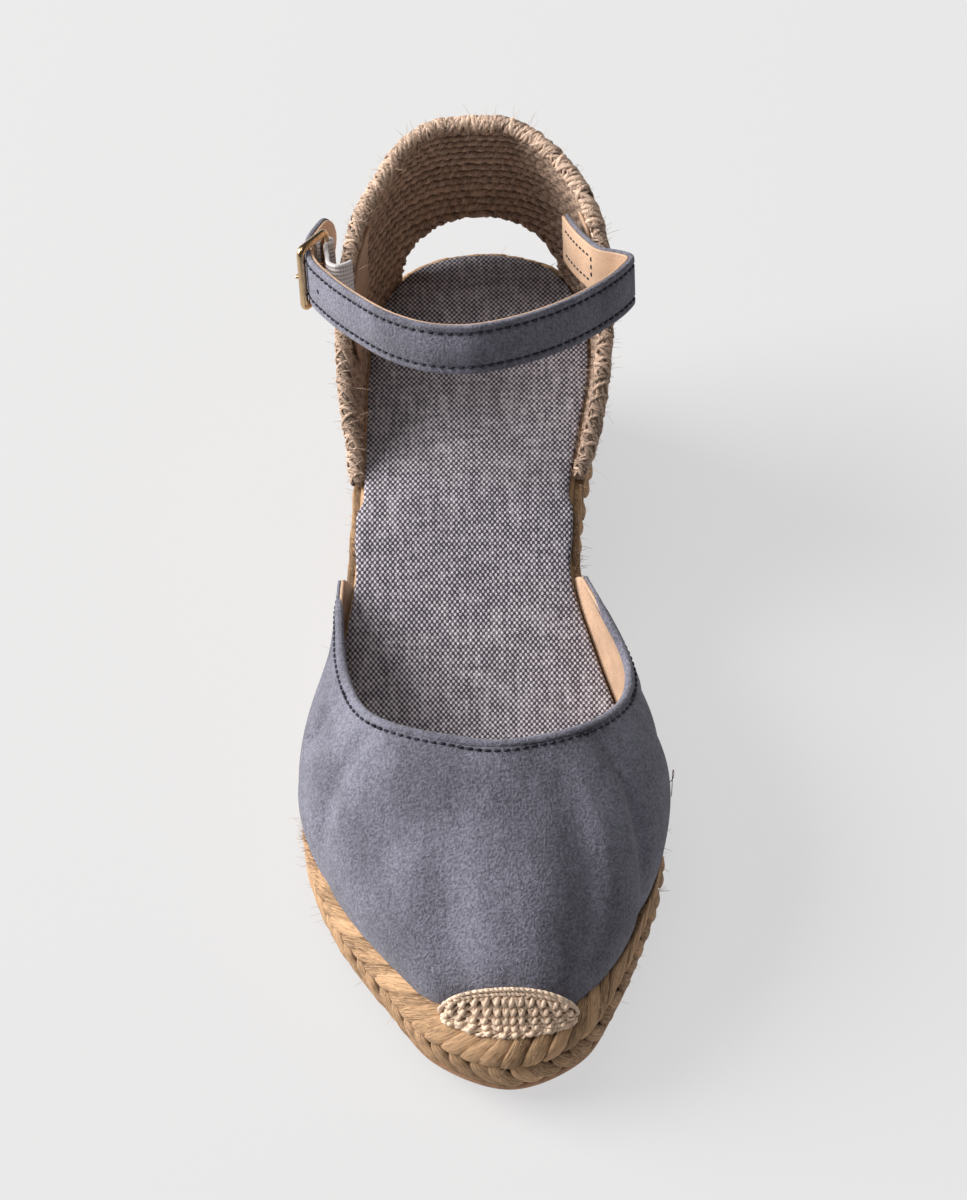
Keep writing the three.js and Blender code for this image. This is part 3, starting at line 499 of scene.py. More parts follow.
class Counter:
    """Middle of the counter's wall: turn -1 at its outer front end, 0 at the back, 1 at its inner end."""

    def __init__(self, sole):
        self.sole = sole
        size = sole.size
        feet = sole.line(sole.param_at(COUNTER["foot"] * size.counter_reach, -1))
        leaps = np.linalg.norm(np.diff(feet, axis=0), axis=1)
        turn = np.concatenate([[0], np.cumsum(leaps)])
        self.reach = turn[-1]
        self.turn = turn / turn[-1]

    def value(self, name, turn):
        return follow(self.turn, COUNTER[name], np.abs(turn))

    def column(self, turn):
        size, sole = self.sole.size, self.sole
        turn = np.asarray(turn, float)
        foot = self.value("foot", turn) * size.counter_reach
        param = np.where(turn < 0, sole.param_at(foot, -1), sole.param_at(foot, 1))
        bottom = sole.edge(param, size.counter_setback + size.counter_wall / 2)
        bottom[..., 2] = sole.braid_top(sole.along_of(bottom)) + size.gap
        along = self.value("along", turn) * size.counter_reach
        across = np.where(turn < 0, -self.value("lateral", turn), self.value("medial", turn))
        height = sole.braid_top(along) + self.value("rise", turn) * size.counter_height
        top = sole.at(along, across * size.counter_width, height)
        return bottom, top, sole.outward(param)

    def tall(self, turn):
        bottom, top = self.column(turn)[:2]
        return top[..., 2] - bottom[..., 2]

    def window(self, turn):
        """Height of the opening at the back over the foot of the wall."""
        size = self.sole.size
        share = np.minimum(1, np.abs(turn) / size.window_turn)
        return size.window_height * np.sqrt(1 - share * share)

    def middle(self, turn, level):
        turn, level = np.broadcast_arrays(turn, level)
        bottom, top, out = self.column(turn)
        tall = (top - bottom)[..., 2]
        bulge = 4 * self.value("bulge", turn) * tall * level * (1 - level)
        return lerp(bottom, top, level[..., None]) + out * bulge[..., None]

    def surface(self, turn, level, stand=0.0):
        turn, level, stand = np.broadcast_arrays(turn, level, stand)
        normal = normal_of(self.middle, turn, level, 0.004, 0.01, (-1, 1), (0, 1))
        return self.middle(turn, level) - normal * stand[..., None], -normal


def normal_of(surface, a, b, step_a, step_b, range_a, range_b):
    """Unit normal of a surface, from small steps in its two parameters."""
    a0, a1 = np.clip(a - step_a, *range_a), np.clip(a + step_a, *range_a)
    b0, b1 = np.clip(b - step_b, *range_b), np.clip(b + step_b, *range_b)
    ahead = surface(a1, b) - surface(a0, b)
    up = surface(a, b1) - surface(a, b0)
    return unit(np.cross(ahead, up))


class StrapPlane:
    """Slanting plane of the strap: across, forward along the slope, and down its width."""

    def __init__(self, sole):
        size = sole.size
        slant = math.atan(STRAP_SLOPE)
        self.axes = np.array([
            (1, 0, 0), (0, -math.cos(slant), math.sin(slant)), (0, -math.sin(slant), -math.cos(slant))])
        self.origin = sole.at(size.strap_from_heel, 0, size.strap_height)
        self.scale = np.array([size.counter_width, size.counter_reach])
        self.strap = self.line(STRAP)
        self.elastic_rows = np.column_stack([ELASTIC["across"], ELASTIC["along"]]) * self.scale
        across = size.strap_thick / 2 + size.gap
        front = BAR_AHEAD * size.counter_reach
        back = front - size.bar_spacing
        self.front_bar = np.array([self.across_at(front) - across - size.wire / 2, front])
        drop = across + size.elastic_thick + size.gap + size.wire / 2
        self.back_bar = np.array([self.across_at(back) + drop, back])

    def line(self, table):
        return Spline(np.column_stack([table["across"], table["along"]]) * self.scale)

    def across_at(self, along):
        steps = self.strap.steps
        points = self.strap(steps[len(steps) * 6 // 10:])
        return np.interp(-along, -points[:, 1], points[:, 0])

    def world(self, points):
        return self.origin + np.asarray(points) @ self.axes

    def band(self, line, distance, down, stand=0.0):
        """Point on a band: distance along its line, down its width, and off to its outer side."""
        distance, down, stand = np.broadcast_arrays(distance, down, stand)
        t = line.param(distance)
        spot, ahead = line(t), line.ahead(t)
        out = np.stack([ahead[..., 1], -ahead[..., 0]], axis=-1)
        flat = spot + out * stand[..., None]
        point = self.world(np.concatenate([flat, down[..., None]], axis=-1))
        normal = np.concatenate([out, 0 * down[..., None]], axis=-1) @ self.axes
        return point, normal


# ---- Shapes: points, faces, strand coordinates and tone ----

class Shape:
    """Mesh before it is an object: each point also has its place along and round a strand, and a tone."""

    def __init__(self, points, faces, uv=None, tone=None):
        self.points = np.asarray(points, float).reshape(-1, 3)
        self.faces = faces
        self.uv = np.zeros((len(self.points), 2)) if uv is None else np.asarray(uv, float).reshape(-1, 2)
        self.tone = np.full(len(self.points), 0.5) if tone is None else np.asarray(tone, float).ravel()


def join(*shapes):
    faces, start = [], 0
    for shape in shapes:
        faces += [tuple(i + start for i in face) for face in shape.faces]
        start += len(shape.points)
    return Shape(np.vstack([s.points for s in shapes]), faces, np.vstack([s.uv for s in shapes]),
                 np.concatenate([s.tone for s in shapes]))


def grid(points, loop_rows=False, loop_columns=False, uv=None):
    """Quads over points that stand in rows and columns."""
    rows, columns = points.shape[:2]
    i = np.arange(rows if loop_rows else rows - 1)
    j = np.arange(columns if loop_columns else columns - 1)
    i, j = [a.ravel() for a in np.meshgrid(i, j, indexing="ij")]
    i1, j1 = (i + 1) % rows, (j + 1) % columns
    quads = np.stack([i * columns + j, i * columns + j1, i1 * columns + j1, i1 * columns + j], axis=1)
    return Shape(points, quads.tolist(), uv)


def strands(paths, normals, wide, thick, sides=8, ribs=0, rib_depth=0.0, tone=0.5, turn=0.0, tilt=0.0,
            shadow=0.0):
    """Many tubes at once: paths and normals hold strand, point and axis; wide and thick are half sizes.

    Tone is one number for all, one for each strand, or one for each strand and point.
    Shadow darkens the flanks, and turn and tilt set the ribs and the flat section askew."""
    many, steps = paths.shape[:2]
    ahead = unit(np.gradient(paths, axis=1))
    level = unit(np.cross(ahead, normals))
    rise = np.cross(level, ahead)
    lean = np.broadcast_to(tilt, (many, steps))[..., None]
    across = level * np.cos(lean) + rise * np.sin(lean)
    up = rise * np.cos(lean) - level * np.sin(lean)
    angle = np.arange(sides) / sides * 2 * math.pi
    shape = 1 + rib_depth * np.cos(ribs * angle)
    spin = angle + np.broadcast_to(turn, (many, steps))[..., None]
    wide = np.broadcast_to(wide, (many, steps))[..., None] * shape * np.cos(spin)
    thick = np.broadcast_to(thick, (many, steps))[..., None] * shape * np.sin(spin)
    points = paths[:, :, None] + across[:, :, None] * wide[..., None] + up[:, :, None] * thick[..., None]
    leaps = np.linalg.norm(np.diff(paths, axis=1), axis=2)
    travel = np.concatenate([np.zeros((many, 1)), np.cumsum(leaps, axis=1)], axis=1)
    girth = np.abs(angle / math.pi - 1) * 2 * max(np.max(wide), np.max(thick))
    uv = np.stack(np.broadcast_arrays(travel[..., None] + np.arange(many)[:, None, None] * 0.137,
                                      girth[None, None, :]), axis=-1)
    tone = np.asarray(tone, float)
    flank = shadow * (1 - np.clip(np.sin(angle), 0, 1)) ** 1.5
    tone = tone.reshape(*tone.shape, *[1] * (3 - tone.ndim)) - flank
    tone = np.broadcast_to(tone, points.shape[:3])
    k, i, j = [a.ravel() for a in np.meshgrid(np.arange(many), np.arange(steps - 1), np.arange(sides),
                                              indexing="ij")]
    base = k * steps * sides
    a, b = base + i * sides + j, base + i * sides + (j + 1) % sides
    faces = np.stack([a, b, b + sides, a + sides], axis=1).tolist()
    for strand in range(many):
        first = strand * steps * sides
        last = first + (steps - 1) * sides
        faces.append(tuple(first + s for s in reversed(range(sides))))
        faces.append(tuple(last + s for s in range(sides)))
    return Shape(points, faces, uv, tone)


def bands(sections, closed=False, uv=None):
    """Solid through closed sections that follow one another: section, corner and axis."""
    shape = grid(sections, loop_rows=closed, loop_columns=True, uv=uv)
    if not closed:
        count, corners = sections.shape[:2]
        first, last = range(corners), range((count - 1) * corners, count * corners)
        shape.faces += [tuple(reversed(first)), tuple(last)]
    return shape


def sheet(surface, first, second, outer, inner):
    """Solid between two faces that stand off the middle of a wall."""
    faces = [surface(first, second, stand)[0] for stand in (outer, inner)]
    return bands(np.concatenate([faces[0], faces[1][:, ::-1]], axis=1))


def rounded(wide, tall, radius, steps=4):
    """Corners of a rounded rectangle, as pairs across and up."""
    centres = [(1, 1), (-1, 1), (-1, -1), (1, -1)]
    corners = []
    for k, (x, y) in enumerate(centres):
        for i in range(steps + 1):
            angle = (k + i / steps) * math.pi / 2
            corners.append((x * (wide / 2 - radius) + radius * math.cos(angle),
                            y * (tall / 2 - radius) + radius * math.sin(angle)))
    return np.array(corners)


def add_piece(name, shape, material, nodes=()):
    """Object of a shape, with its strand coordinates, tone, finish and the nodes it stands for."""
    mesh = bpy.data.meshes.new(name)
    mesh.from_pydata(shape.points.tolist(), [], shape.faces)
    corners = np.empty(len(mesh.loops), np.int32)
    mesh.loops.foreach_get("vertex_index", corners)
    layer = mesh.uv_layers.new(name="strand")
    layer.data.foreach_set("uv", shape.uv[corners].ravel())
    tone = mesh.attributes.new("tone", "FLOAT", "POINT")
    tone.data.foreach_set("value", shape.tone.astype(np.float32))
    mesh.polygons.foreach_set("use_smooth", np.ones(len(mesh.polygons), bool))
    mesh.materials.append(material)
    mesh.validate()
    mesh.update()
    piece = bpy.data.objects.new(name, mesh)
    bpy.context.scene.collection.objects.link(piece)
    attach(piece, "root")
    if nodes:
        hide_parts(*nodes)
    return piece


# ---- Materials ----

class Signal:
    """A socket's value in a shader, with arithmetic that adds Math nodes."""

    def __init__(self, recipe, socket):
        self.recipe = recipe
        self.socket = socket

    def _math(self, operation, *values):
        inputs = dict(enumerate(values))
        return self.recipe.add("ShaderNodeMath", {"operation": operation}, inputs)

    def __add__(self, other):
        return self._math("ADD", self, other)

    def __radd__(self, other):
        return self._math("ADD", other, self)

    def __sub__(self, other):
        return self._math("SUBTRACT", self, other)

    def __rsub__(self, other):
        return self._math("SUBTRACT", other, self)

    def __mul__(self, other):
        return self._math("MULTIPLY", self, other)

    def __rmul__(self, other):
        return self._math("MULTIPLY", other, self)

    def __pow__(self, other):
        return self._math("POWER", self, other)

    def wave(self):
        return self._math("SINE", self)

    def clamp(self, low=0.0, high=1.0):
        return self.recipe.add("ShaderNodeClamp", {}, {"Value": self, "Min": low, "Max": high})

    def ease(self, low, high):
        return self.recipe.add("ShaderNodeMapRange", {"interpolation_type": "SMOOTHSTEP"}, {
            "Value": self, "From Min": low, "From Max": high})


class Recipe:
    """One material and its nodes."""

    def __init__(self, name, **constants):
        self.material = bpy.data.materials.new(name)
        self.material.use_nodes = True
        self.tree = self.material.node_tree
        self.shader = self.tree.nodes["Principled BSDF"]
        for socket, value in constants.items():
            self.shader.inputs[socket.replace("_", " ")].default_value = value

    def add(self, kind, settings, inputs, output=0):
        node = self.tree.nodes.new(kind)
        for key, value in settings.items():
            if key == "stops":
                for stop, (place, color) in zip(self._stops(node, len(value)), value):
                    stop.position = place
                    stop.color = (*color, 1)
            else:
                setattr(node, key, value)
        for key, value in inputs.items():
            self._feed(node.inputs[key], value)
        return Signal(self, node.outputs[output])

    def _stops(self, node, count):
        elements = node.color_ramp.elements
        while len(elements) < count:
            elements.new(1.0)
        return list(elements)

    def _feed(self, socket, value):
        if isinstance(value, Signal):
            self.tree.links.new(value.socket, socket)
        elif socket.type == "RGBA" and len(value) == 3:
            socket.default_value = (*value, 1)
        else:
            socket.default_value = value

    def place(self, kind="Object"):
        return self.add("ShaderNodeTexCoord", {}, {}, kind)

    def stretch(self, vector, scale):
        return self.add("ShaderNodeMapping", {}, {"Vector": vector, "Scale": scale})

    def noise(self, vector, scale, detail=2.0, roughness=0.5):
        return self.add("ShaderNodeTexNoise", {}, {
            "Vector": vector, "Scale": scale, "Detail": detail, "Roughness": roughness}, "Fac")

    def ramp(self, value, *stops):
        return self.add("ShaderNodeValToRGB", {"stops": stops}, {"Fac": value})

    def mix(self, factor, first, second):
        return self.add("ShaderNodeMix", {"data_type": "RGBA"}, {0: factor, 6: first, 7: second}, 2)

    def tone(self):
        return self.add("ShaderNodeAttribute", {"attribute_name": "tone"}, {}, "Fac")

    def split(self, vector):
        node = self.add("ShaderNodeSeparateXYZ", {}, {"Vector": vector})
        return [Signal(self, socket) for socket in node.socket.node.outputs]

    def finish(self, color, roughness=None, height=None, distance=0.0002, strength=1.0):
        self._feed(self.shader.inputs["Base Color"], color)
        if roughness is not None:
            self._feed(self.shader.inputs["Roughness"], roughness)
        if height is not None:
            bump = self.add("ShaderNodeBump", {}, {
                "Height": height, "Distance": distance, "Strength": strength}, "Normal")
            self._feed(self.shader.inputs["Normal"], bump)
        return self.material


def shade(color, factor):
    return tuple(min(1.0, channel * factor) for channel in color)


def suede_material(color):
    recipe = Recipe("suede", Sheen_Weight=0.2, Sheen_Roughness=0.5, Specular_IOR_Level=0.12)
    spot = recipe.place()
    clouds = recipe.noise(spot, 38.0, 2.0)
    brushed = recipe.noise(recipe.stretch(spot, (110.0, 42.0, 42.0)), 1.0, 3.0, 0.6)
    grain = recipe.noise(spot, 1500.0, 3.0, 0.6)
    pile = recipe.noise(spot, 620.0, 2.0, 0.6)
    # Painted shade: broad clouds and brushed streaks lighten and darken the suede in place of the shading of
    # its creases and nap.
    crease_and_nap_shade = (clouds * 0.5 + brushed * 0.5).ease(0.34, 0.66)
    # Painted light: the grain that also drives the bump picks between a painted lit copy of the suede and a
    # painted shaded copy.
    pattern_and_grain_shade = (grain * 0.75 + pile * 0.25).ease(0.33, 0.67)
    lit_grain_colour = recipe.mix(crease_and_nap_shade, shade(color, 0.9), shade(color, 1.5))
    shaded_grain_colour = recipe.mix(crease_and_nap_shade, shade(color, 0.4), shade(color, 0.75))
    return recipe.finish(recipe.mix(pattern_and_grain_shade, shaded_grain_colour, lit_grain_colour), 0.95, grain, 0.0006, 0.9)


def fibre_material(color, name, light, dark, along, around, twist):
    """Jute or yarn: streaks that run along each strand, or round it where it is twisted."""
    recipe = Recipe(name, Specular_IOR_Level=0.25, Roughness=0.85)
    u, v = recipe.split(recipe.place("UV"))[:2]
    run = recipe.add("ShaderNodeCombineXYZ", {}, {"X": u * along, "Y": (v + u * twist) * around, "Z": 0.0})
    streak = recipe.noise(run, 1.0, 3.0, 0.6)
    closer = recipe.add("ShaderNodeVectorMath", {"operation": "SCALE"}, {0: run, "Scale": 2.7})
    fine = recipe.noise(closer, 1.0)
    patchy = recipe.noise(recipe.place(), 130.0, 2.0)
    # The tone attribute holds each strand's own tone and the painted shade that strands lays on its flanks.
    tone = recipe.tone()
    level = streak * 1.1 + fine * 0.6 + (tone - 0.5) * 0.5 + (patchy - 0.5) * 0.2 - 0.39
    base = recipe.ramp(level, (0.25, shade(color, dark)), (0.46, color), (0.66, shade(color, light)))
    return recipe.finish(base, 0.85, streak + fine * 0.5, 0.0003, 0.9)


def canvas_material(color):
    recipe = Recipe("canvas", Specular_IOR_Level=0.2)
    spot = recipe.place()
    x, y = recipe.split(spot)[:2]
    wander = recipe.noise(spot, 160.0, 2.0) - 0.5
    warp = ((x + wander * 0.0003) * (2 * math.pi / 0.00135)).wave()
    weft = ((y + wander * 0.0003) * (2 * math.pi / 0.0016)).wave()
    weave = (warp * weft).ease(-0.35, 0.65)
    grain = recipe.noise(spot, 1800.0, 2.0)
    uneven = recipe.noise(recipe.stretch(spot, (900.0, 120.0, 120.0)), 1.0, 2.0)
    slub = recipe.noise(recipe.stretch(spot, (150.0, 800.0, 150.0)), 1.0, 2.0)
    pattern_and_grain_shade = (weave * 0.75 + (grain - 0.5) * 0.6 + (uneven - 0.5) * 0.6 + (slub - 0.5) * 0.5).clamp()
    worn = recipe.noise(spot, 45.0, 2.0)
    light = recipe.mix(worn, shade(color, 0.72), shade(color, 1.12))
    base = recipe.mix(pattern_and_grain_shade, (0.055, 0.048, 0.062), light)
    return recipe.finish(base, 0.9, weave + grain * 0.3, 0.00022, 0.8)


def leather_material(color):
    recipe = Recipe("leather", Specular_IOR_Level=0.4)
    spot = recipe.place()
    pores = recipe.noise(spot, 1400.0, 3.0, 0.6)
    stain = recipe.noise(spot, 90.0, 2.0)
    base = recipe.mix(stain.ease(0.3, 0.7), shade(color, 0.8), shade(color, 1.08))
    base = recipe.mix(pores.ease(0.3, 0.5), shade(color, 0.75), base)
    return recipe.finish(base, 0.45 + stain * 0.2, pores, 0.0001, 0.5)


def rubber_material(color):
    recipe = Recipe("rubber", Specular_IOR_Level=0.4)
    spot = recipe.place()
    speck = recipe.noise(spot, 700.0, 3.0, 0.6)
    scuff = recipe.noise(recipe.stretch(spot, (60.0, 60.0, 400.0)), 1.0, 3.0)
    base = recipe.mix(speck.ease(0.35, 0.65), shade(color, 0.8), shade(color, 1.2))
    base = recipe.mix(scuff.ease(0.55, 0.75) * 0.4, base, shade(color, 1.6))
    return recipe.finish(base, 0.55 + scuff * 0.25, speck, 0.0001, 0.4)


def webbing_material(color):
    recipe = Recipe("webbing", Specular_IOR_Level=0.3)
    u, v = recipe.split(recipe.place("UV"))[:2]
    ribs = (v * (2 * math.pi / 0.0011)).wave()
    picks = (u * (2 * math.pi / 0.0007)).wave()
    grain = recipe.noise(recipe.place(), 1600.0, 2.0)
    relief = (ribs * 0.5 + 0.5) * 0.7 + (picks * 0.5 + 0.5) * 0.3
    base = recipe.mix((relief * 0.8 + grain * 0.3).clamp(), shade(color, 0.5), shade(color, 1.2))
    return recipe.finish(base, 0.75, relief, 0.00025, 0.7)


def metal_material(color):
    recipe = Recipe("gold_metal", Metallic=1.0)
    spot = recipe.place()
    haze = recipe.noise(spot, 500.0, 3.0, 0.6)
    rub = recipe.noise(recipe.stretch(spot, (2200.0, 300.0, 300.0)), 1.0, 2.0)
    base = recipe.mix(haze.ease(0.35, 0.7), color, shade(color, 0.82))
    return recipe.finish(base, 0.16 + haze * 0.14 + rub * 0.06, rub, 0.00002, 0.3)


def thread_material(color):
    recipe = Recipe("thread", Specular_IOR_Level=0.3)
    u, v = recipe.split(recipe.place("UV"))[:2]
    ply = ((u + v) * (2 * math.pi / 0.0008)).wave() * 0.5 + 0.5
    return recipe.finish(recipe.mix(ply, shade(color, 0.6), shade(color, 1.8)), 0.7, ply, 0.0001, 0.6)


YARNS = {
    "jute": ("jute_braid", 1.4, 0.42, 260.0, 3400.0, 0.0),
    "weave": ("woven_jute", 1.4, 0.33, 500.0, 2400.0, 0.9),
    "crochet": ("crochet", 1.2, 0.4, 500.0, 2600.0, 0.9),
}
FINISHES = {
    "suede": suede_material,
    "canvas": canvas_material,
    "rubber": rubber_material,
    "leather": leather_material,
    "webbing": webbing_material,
    "metal": metal_material,
    "thread": thread_material,
}
made = {}


def material(name):
    """Each finish is made once, from its colour in the scene's settings."""
    if name not in made:
        color = tuple(getattr(bpy.context.scene.espadrille_colors, name))
        made[name] = fibre_material(color, *YARNS[name]) if name in YARNS else FINISHES[name](color)
    return made[name]


# ---- Parts of the shoe ----

def rows_round(sole, insets, heights, count=360):
    """Closed rings round the sole, one for each inset and height."""
    param = sole.line.param(np.arange(count) / count * sole.line.length)
    rings = []
    for inset, height in zip(insets, heights):
        ring = sole.edge(param, inset(param) if callable(inset) else inset)
        ring[:, 2] = height(sole.along_of(ring))
        rings.append(ring)
    return np.array(rings)


def closed_stack(rings):
    """Rings with a strip of quads across the bottom and the top."""
    shape = grid(rings, loop_columns=True)
    count, top = rings.shape[1], (rings.shape[0] - 1) * rings.shape[1]
    for i in range(1, count // 2 - 1):
        quad = (i, i + 1, count - i - 1, count - i)
        shape.faces.append(tuple(reversed(quad)))
        shape.faces.append(tuple(top + k for k in quad))
    for start in (0, top):
        shape.faces.append((start, start + 1, start + count - 1))
        middle = count // 2
        shape.faces.append((start + middle - 1, start + middle, start + middle + 1))
    return shape


def plait(surface, count, pitch, random, runs, sides=14):
    """Chevrons of a flat braid: two lines of strands that leave its groove and open up ahead."""
    t = np.linspace(0, 1, 13)
    full = smoothstep(t, 0, 0.35) * (1 - 0.25 * smoothstep(t, 0.75, 1))
    shapes = []
    for side, run in zip((-1, 1), runs):
        k = np.arange(count)[:, None]
        start = (k + (0.5 if side > 0 else 0.0) + random.uniform(-0.13, 0.13, (count, 1))) * pitch
        level = 0.5 + side * 0.5 * (t * 1.16 - 0.16 + random.uniform(-0.03, 0.03, (count, 1)))
        reach = pitch * run * (t - 0.1 * np.sin(t * math.pi)) * random.uniform(0.92, 1.08, (count, 1))
        distance = start + reach
        stand = (0.0008 * full + random.uniform(-0.0002, 0.0002, (count, 1))) * (1 - 0.5 * t ** 4)
        path, normal = surface(distance, level, stand)
        wide = pitch * (0.22 + 0.24 * full) * random.uniform(0.88, 1.1, (count, 1))
        shapes.append(strands(path, normal, wide, 0.0005 + 0.0005 * full, sides, 5, 0.04,
                              random.uniform(0.3, 0.75, count), random.uniform(-0.3, 0.3, (count, 1)),
                              -side * 0.15, 0.45))
    return join(*shapes)


def stitches(points, normals, ahead, long, thick, tone=0.5):
    """Seam stitches: short threads that dip into the surface at both ends."""
    t = np.linspace(-1, 1, 5)
    path = points[:, None] + ahead[:, None] * (t * long / 2)[None, :, None]
    path = path + normals[:, None] * (thick * (0.35 - 0.75 * t ** 4))[None, :, None]
    normal = np.broadcast_to(normals[:, None], path.shape)
    return strands(path, normal, thick / 2, thick / 2, 6, tone=np.full(len(points), tone))


def twisted(path, normal, radius, spread, turns, random, count=3):
    """Yarns that twist round a path."""
    leaps = np.linalg.norm(np.diff(path, axis=0), axis=1)
    travel = np.concatenate([[0], np.cumsum(leaps)])
    ahead = unit(np.gradient(path, axis=0))
    across = unit(np.cross(ahead, normal))
    up = np.cross(across, ahead)

    def drift(low, high, spacing):
        knots = max(4, int(travel[-1] / spacing))
        return np.interp(travel, np.linspace(0, travel[-1], knots), random.uniform(low, high, knots))

    shapes = []
    for k in range(count):
        angle = travel / turns * 2 * math.pi + k * 2 * math.pi / count + drift(-0.7, 0.7, 0.006)
        out = spread * (1 + drift(-0.4, 0.5, 0.003))
        yarn = path + across * (np.cos(angle) * out)[:, None] + up * (np.sin(angle) * out)[:, None]
        thick = radius * (1 + drift(-0.25, 0.3, 0.0025))
        shapes.append(strands(yarn[None], normal[None], thick, thick, 8, 3, 0.1, random.uniform(0.4, 0.8, 1),
                              shadow=0.25))
    return join(*shapes)


def along_path(points, pitch):
    """Places at even distances on a path, counted in its points."""
    leaps = np.linalg.norm(np.diff(points, axis=0), axis=1)
    travel = np.concatenate([[0], np.cumsum(leaps)])
    count = int(travel[-1] / pitch)
    spots = (np.arange(count) + 0.5) * (travel[-1] / count)
    return np.interp(spots, travel, np.arange(len(points)))


class EspadrilleOperator:
    """What every step shares."""
    bl_options = {"REGISTER", "UNDO"}

    def parts(self, context):
        """The sole in the scene's sizes, the scene's detail and a fresh row of random numbers."""
        detail = context.scene.espadrille_detail
        return Sole(context.scene.espadrille_sizes), detail, np.random.default_rng(detail.seed)


class ESPADRILLE_OT_stage(bpy.types.Operator):
    """Camera at the photograph's angle, pale floor and soft light"""
    bl_idname = "espadrille.stage"
    bl_label = "Stage"

    def execute(self, context):
        stage = context.scene.espadrille_stage
        yaw, down = stage.camera_yaw, stage.camera_down
        ahead = Vector((-math.sin(yaw) * math.cos(down), math.cos(yaw) * math.cos(down), -math.sin(down)))
        right = Vector((math.cos(yaw), math.sin(yaw), 0))
        up = right.cross(ahead)
        aim = (ahead + right * stage.aim_shift[0] + up * stage.aim_shift[1]).normalized()
        right = aim.cross(up).normalized()
        turn = Matrix((right, right.cross(aim), -aim)).transposed()
        data = bpy.data.cameras.new("photo_camera")
        data.sensor_fit = "VERTICAL"
        data.sensor_height = 36.0
        data.lens = stage.lens
        data.clip_start = 0.01
        camera = bpy.data.objects.new("photo_camera", data)
        camera.matrix_world = Matrix.Translation(stage.camera_place) @ turn.to_4x4()
        context.scene.collection.objects.link(camera)
        context.scene.camera = camera
        self.floor(context, stage)
        self.light(context, "key", (-3.2, 0.6, 2.2), (2.6, 2.6), stage.key_power, (1.0, 0.985, 0.97))
        self.light(context, "top", (-0.3, 0.4, 3.2), (2.0, 2.0), stage.key_power * 0.12, (1.0, 0.99, 0.98))
        world = bpy.data.worlds.new("studio")
        world.use_nodes = True
        background = world.node_tree.nodes["Background"]
        background.inputs["Color"].default_value = (0.97, 0.98, 1.0, 1)
        background.inputs["Strength"].default_value = stage.world_strength
        context.scene.world = world
        context.scene.view_settings.view_transform = "Standard"
        return {"FINISHED"}

    def floor(self, context, stage):
        half = stage.floor_size / 2
        mesh = bpy.data.meshes.new("floor")
        corners = [(-half, -half, 0), (half, -half, 0), (half, half, 0), (-half, half, 0)]
        mesh.from_pydata(corners, [], [(0, 1, 2, 3)])
        glow = (0.99, 0.99, 1.0, 1.0)
        recipe = Recipe("floor", Roughness=0.9, Specular_IOR_Level=0.1, Emission_Color=glow,
                        Emission_Strength=stage.floor_glow)
        tone = recipe.noise(recipe.place(), 3.0)
        color = tuple(stage.floor_color)
        mesh.materials.append(recipe.finish(recipe.mix(tone, shade(color, 0.99), color)))
        floor = bpy.data.objects.new("floor", mesh)
        context.scene.collection.objects.link(floor)

    def light(self, context, name, place, size, power, color):
        data = bpy.data.lights.new(name, "AREA")
        data.shape = "RECTANGLE"
        data.size, data.size_y = size
        data.energy = power
        data.color = color
        lamp = bpy.data.objects.new(name, data)
        lamp.location = place
        aim = Vector((0.0, -0.08, 0.04)) - Vector(place)
        lamp.rotation_euler = aim.to_track_quat("-Z", "Y").to_euler()
        context.scene.collection.objects.link(lamp)


class ESPADRILLE_OT_outsole(bpy.types.Operator, EspadrilleOperator):
    """Thin tan rubber under the braid, with a rounded edge"""
    bl_idname = "espadrille.outsole"
    bl_label = "Outsole"

    def execute(self, context):
        sole = self.parts(context)[0]
        size = sole.size

        def edge(extra):
            return lambda param: size.outsole_setback + extra + sole.taper(sole.along_of(sole.line(param)), 0)

        def rise(share):
            return lambda along: sole.underside(along) + share * size.outsole_thick

        levels = [(0.0, 1.0), (0.04, 0.45), (0.16, 0.12), (0.35, 0.0), (0.7, 0.0), (0.88, 0.1), (1.0, 0.4)]
        insets = [edge(size.heel_bevel * inset) for level, inset in levels]
        rings = rows_round(sole, insets, [rise(level) for level, inset in levels])
        add_piece("outsole_rubber", closed_stack(rings), material("rubber"), ["outsole"])
        return {"FINISHED"}


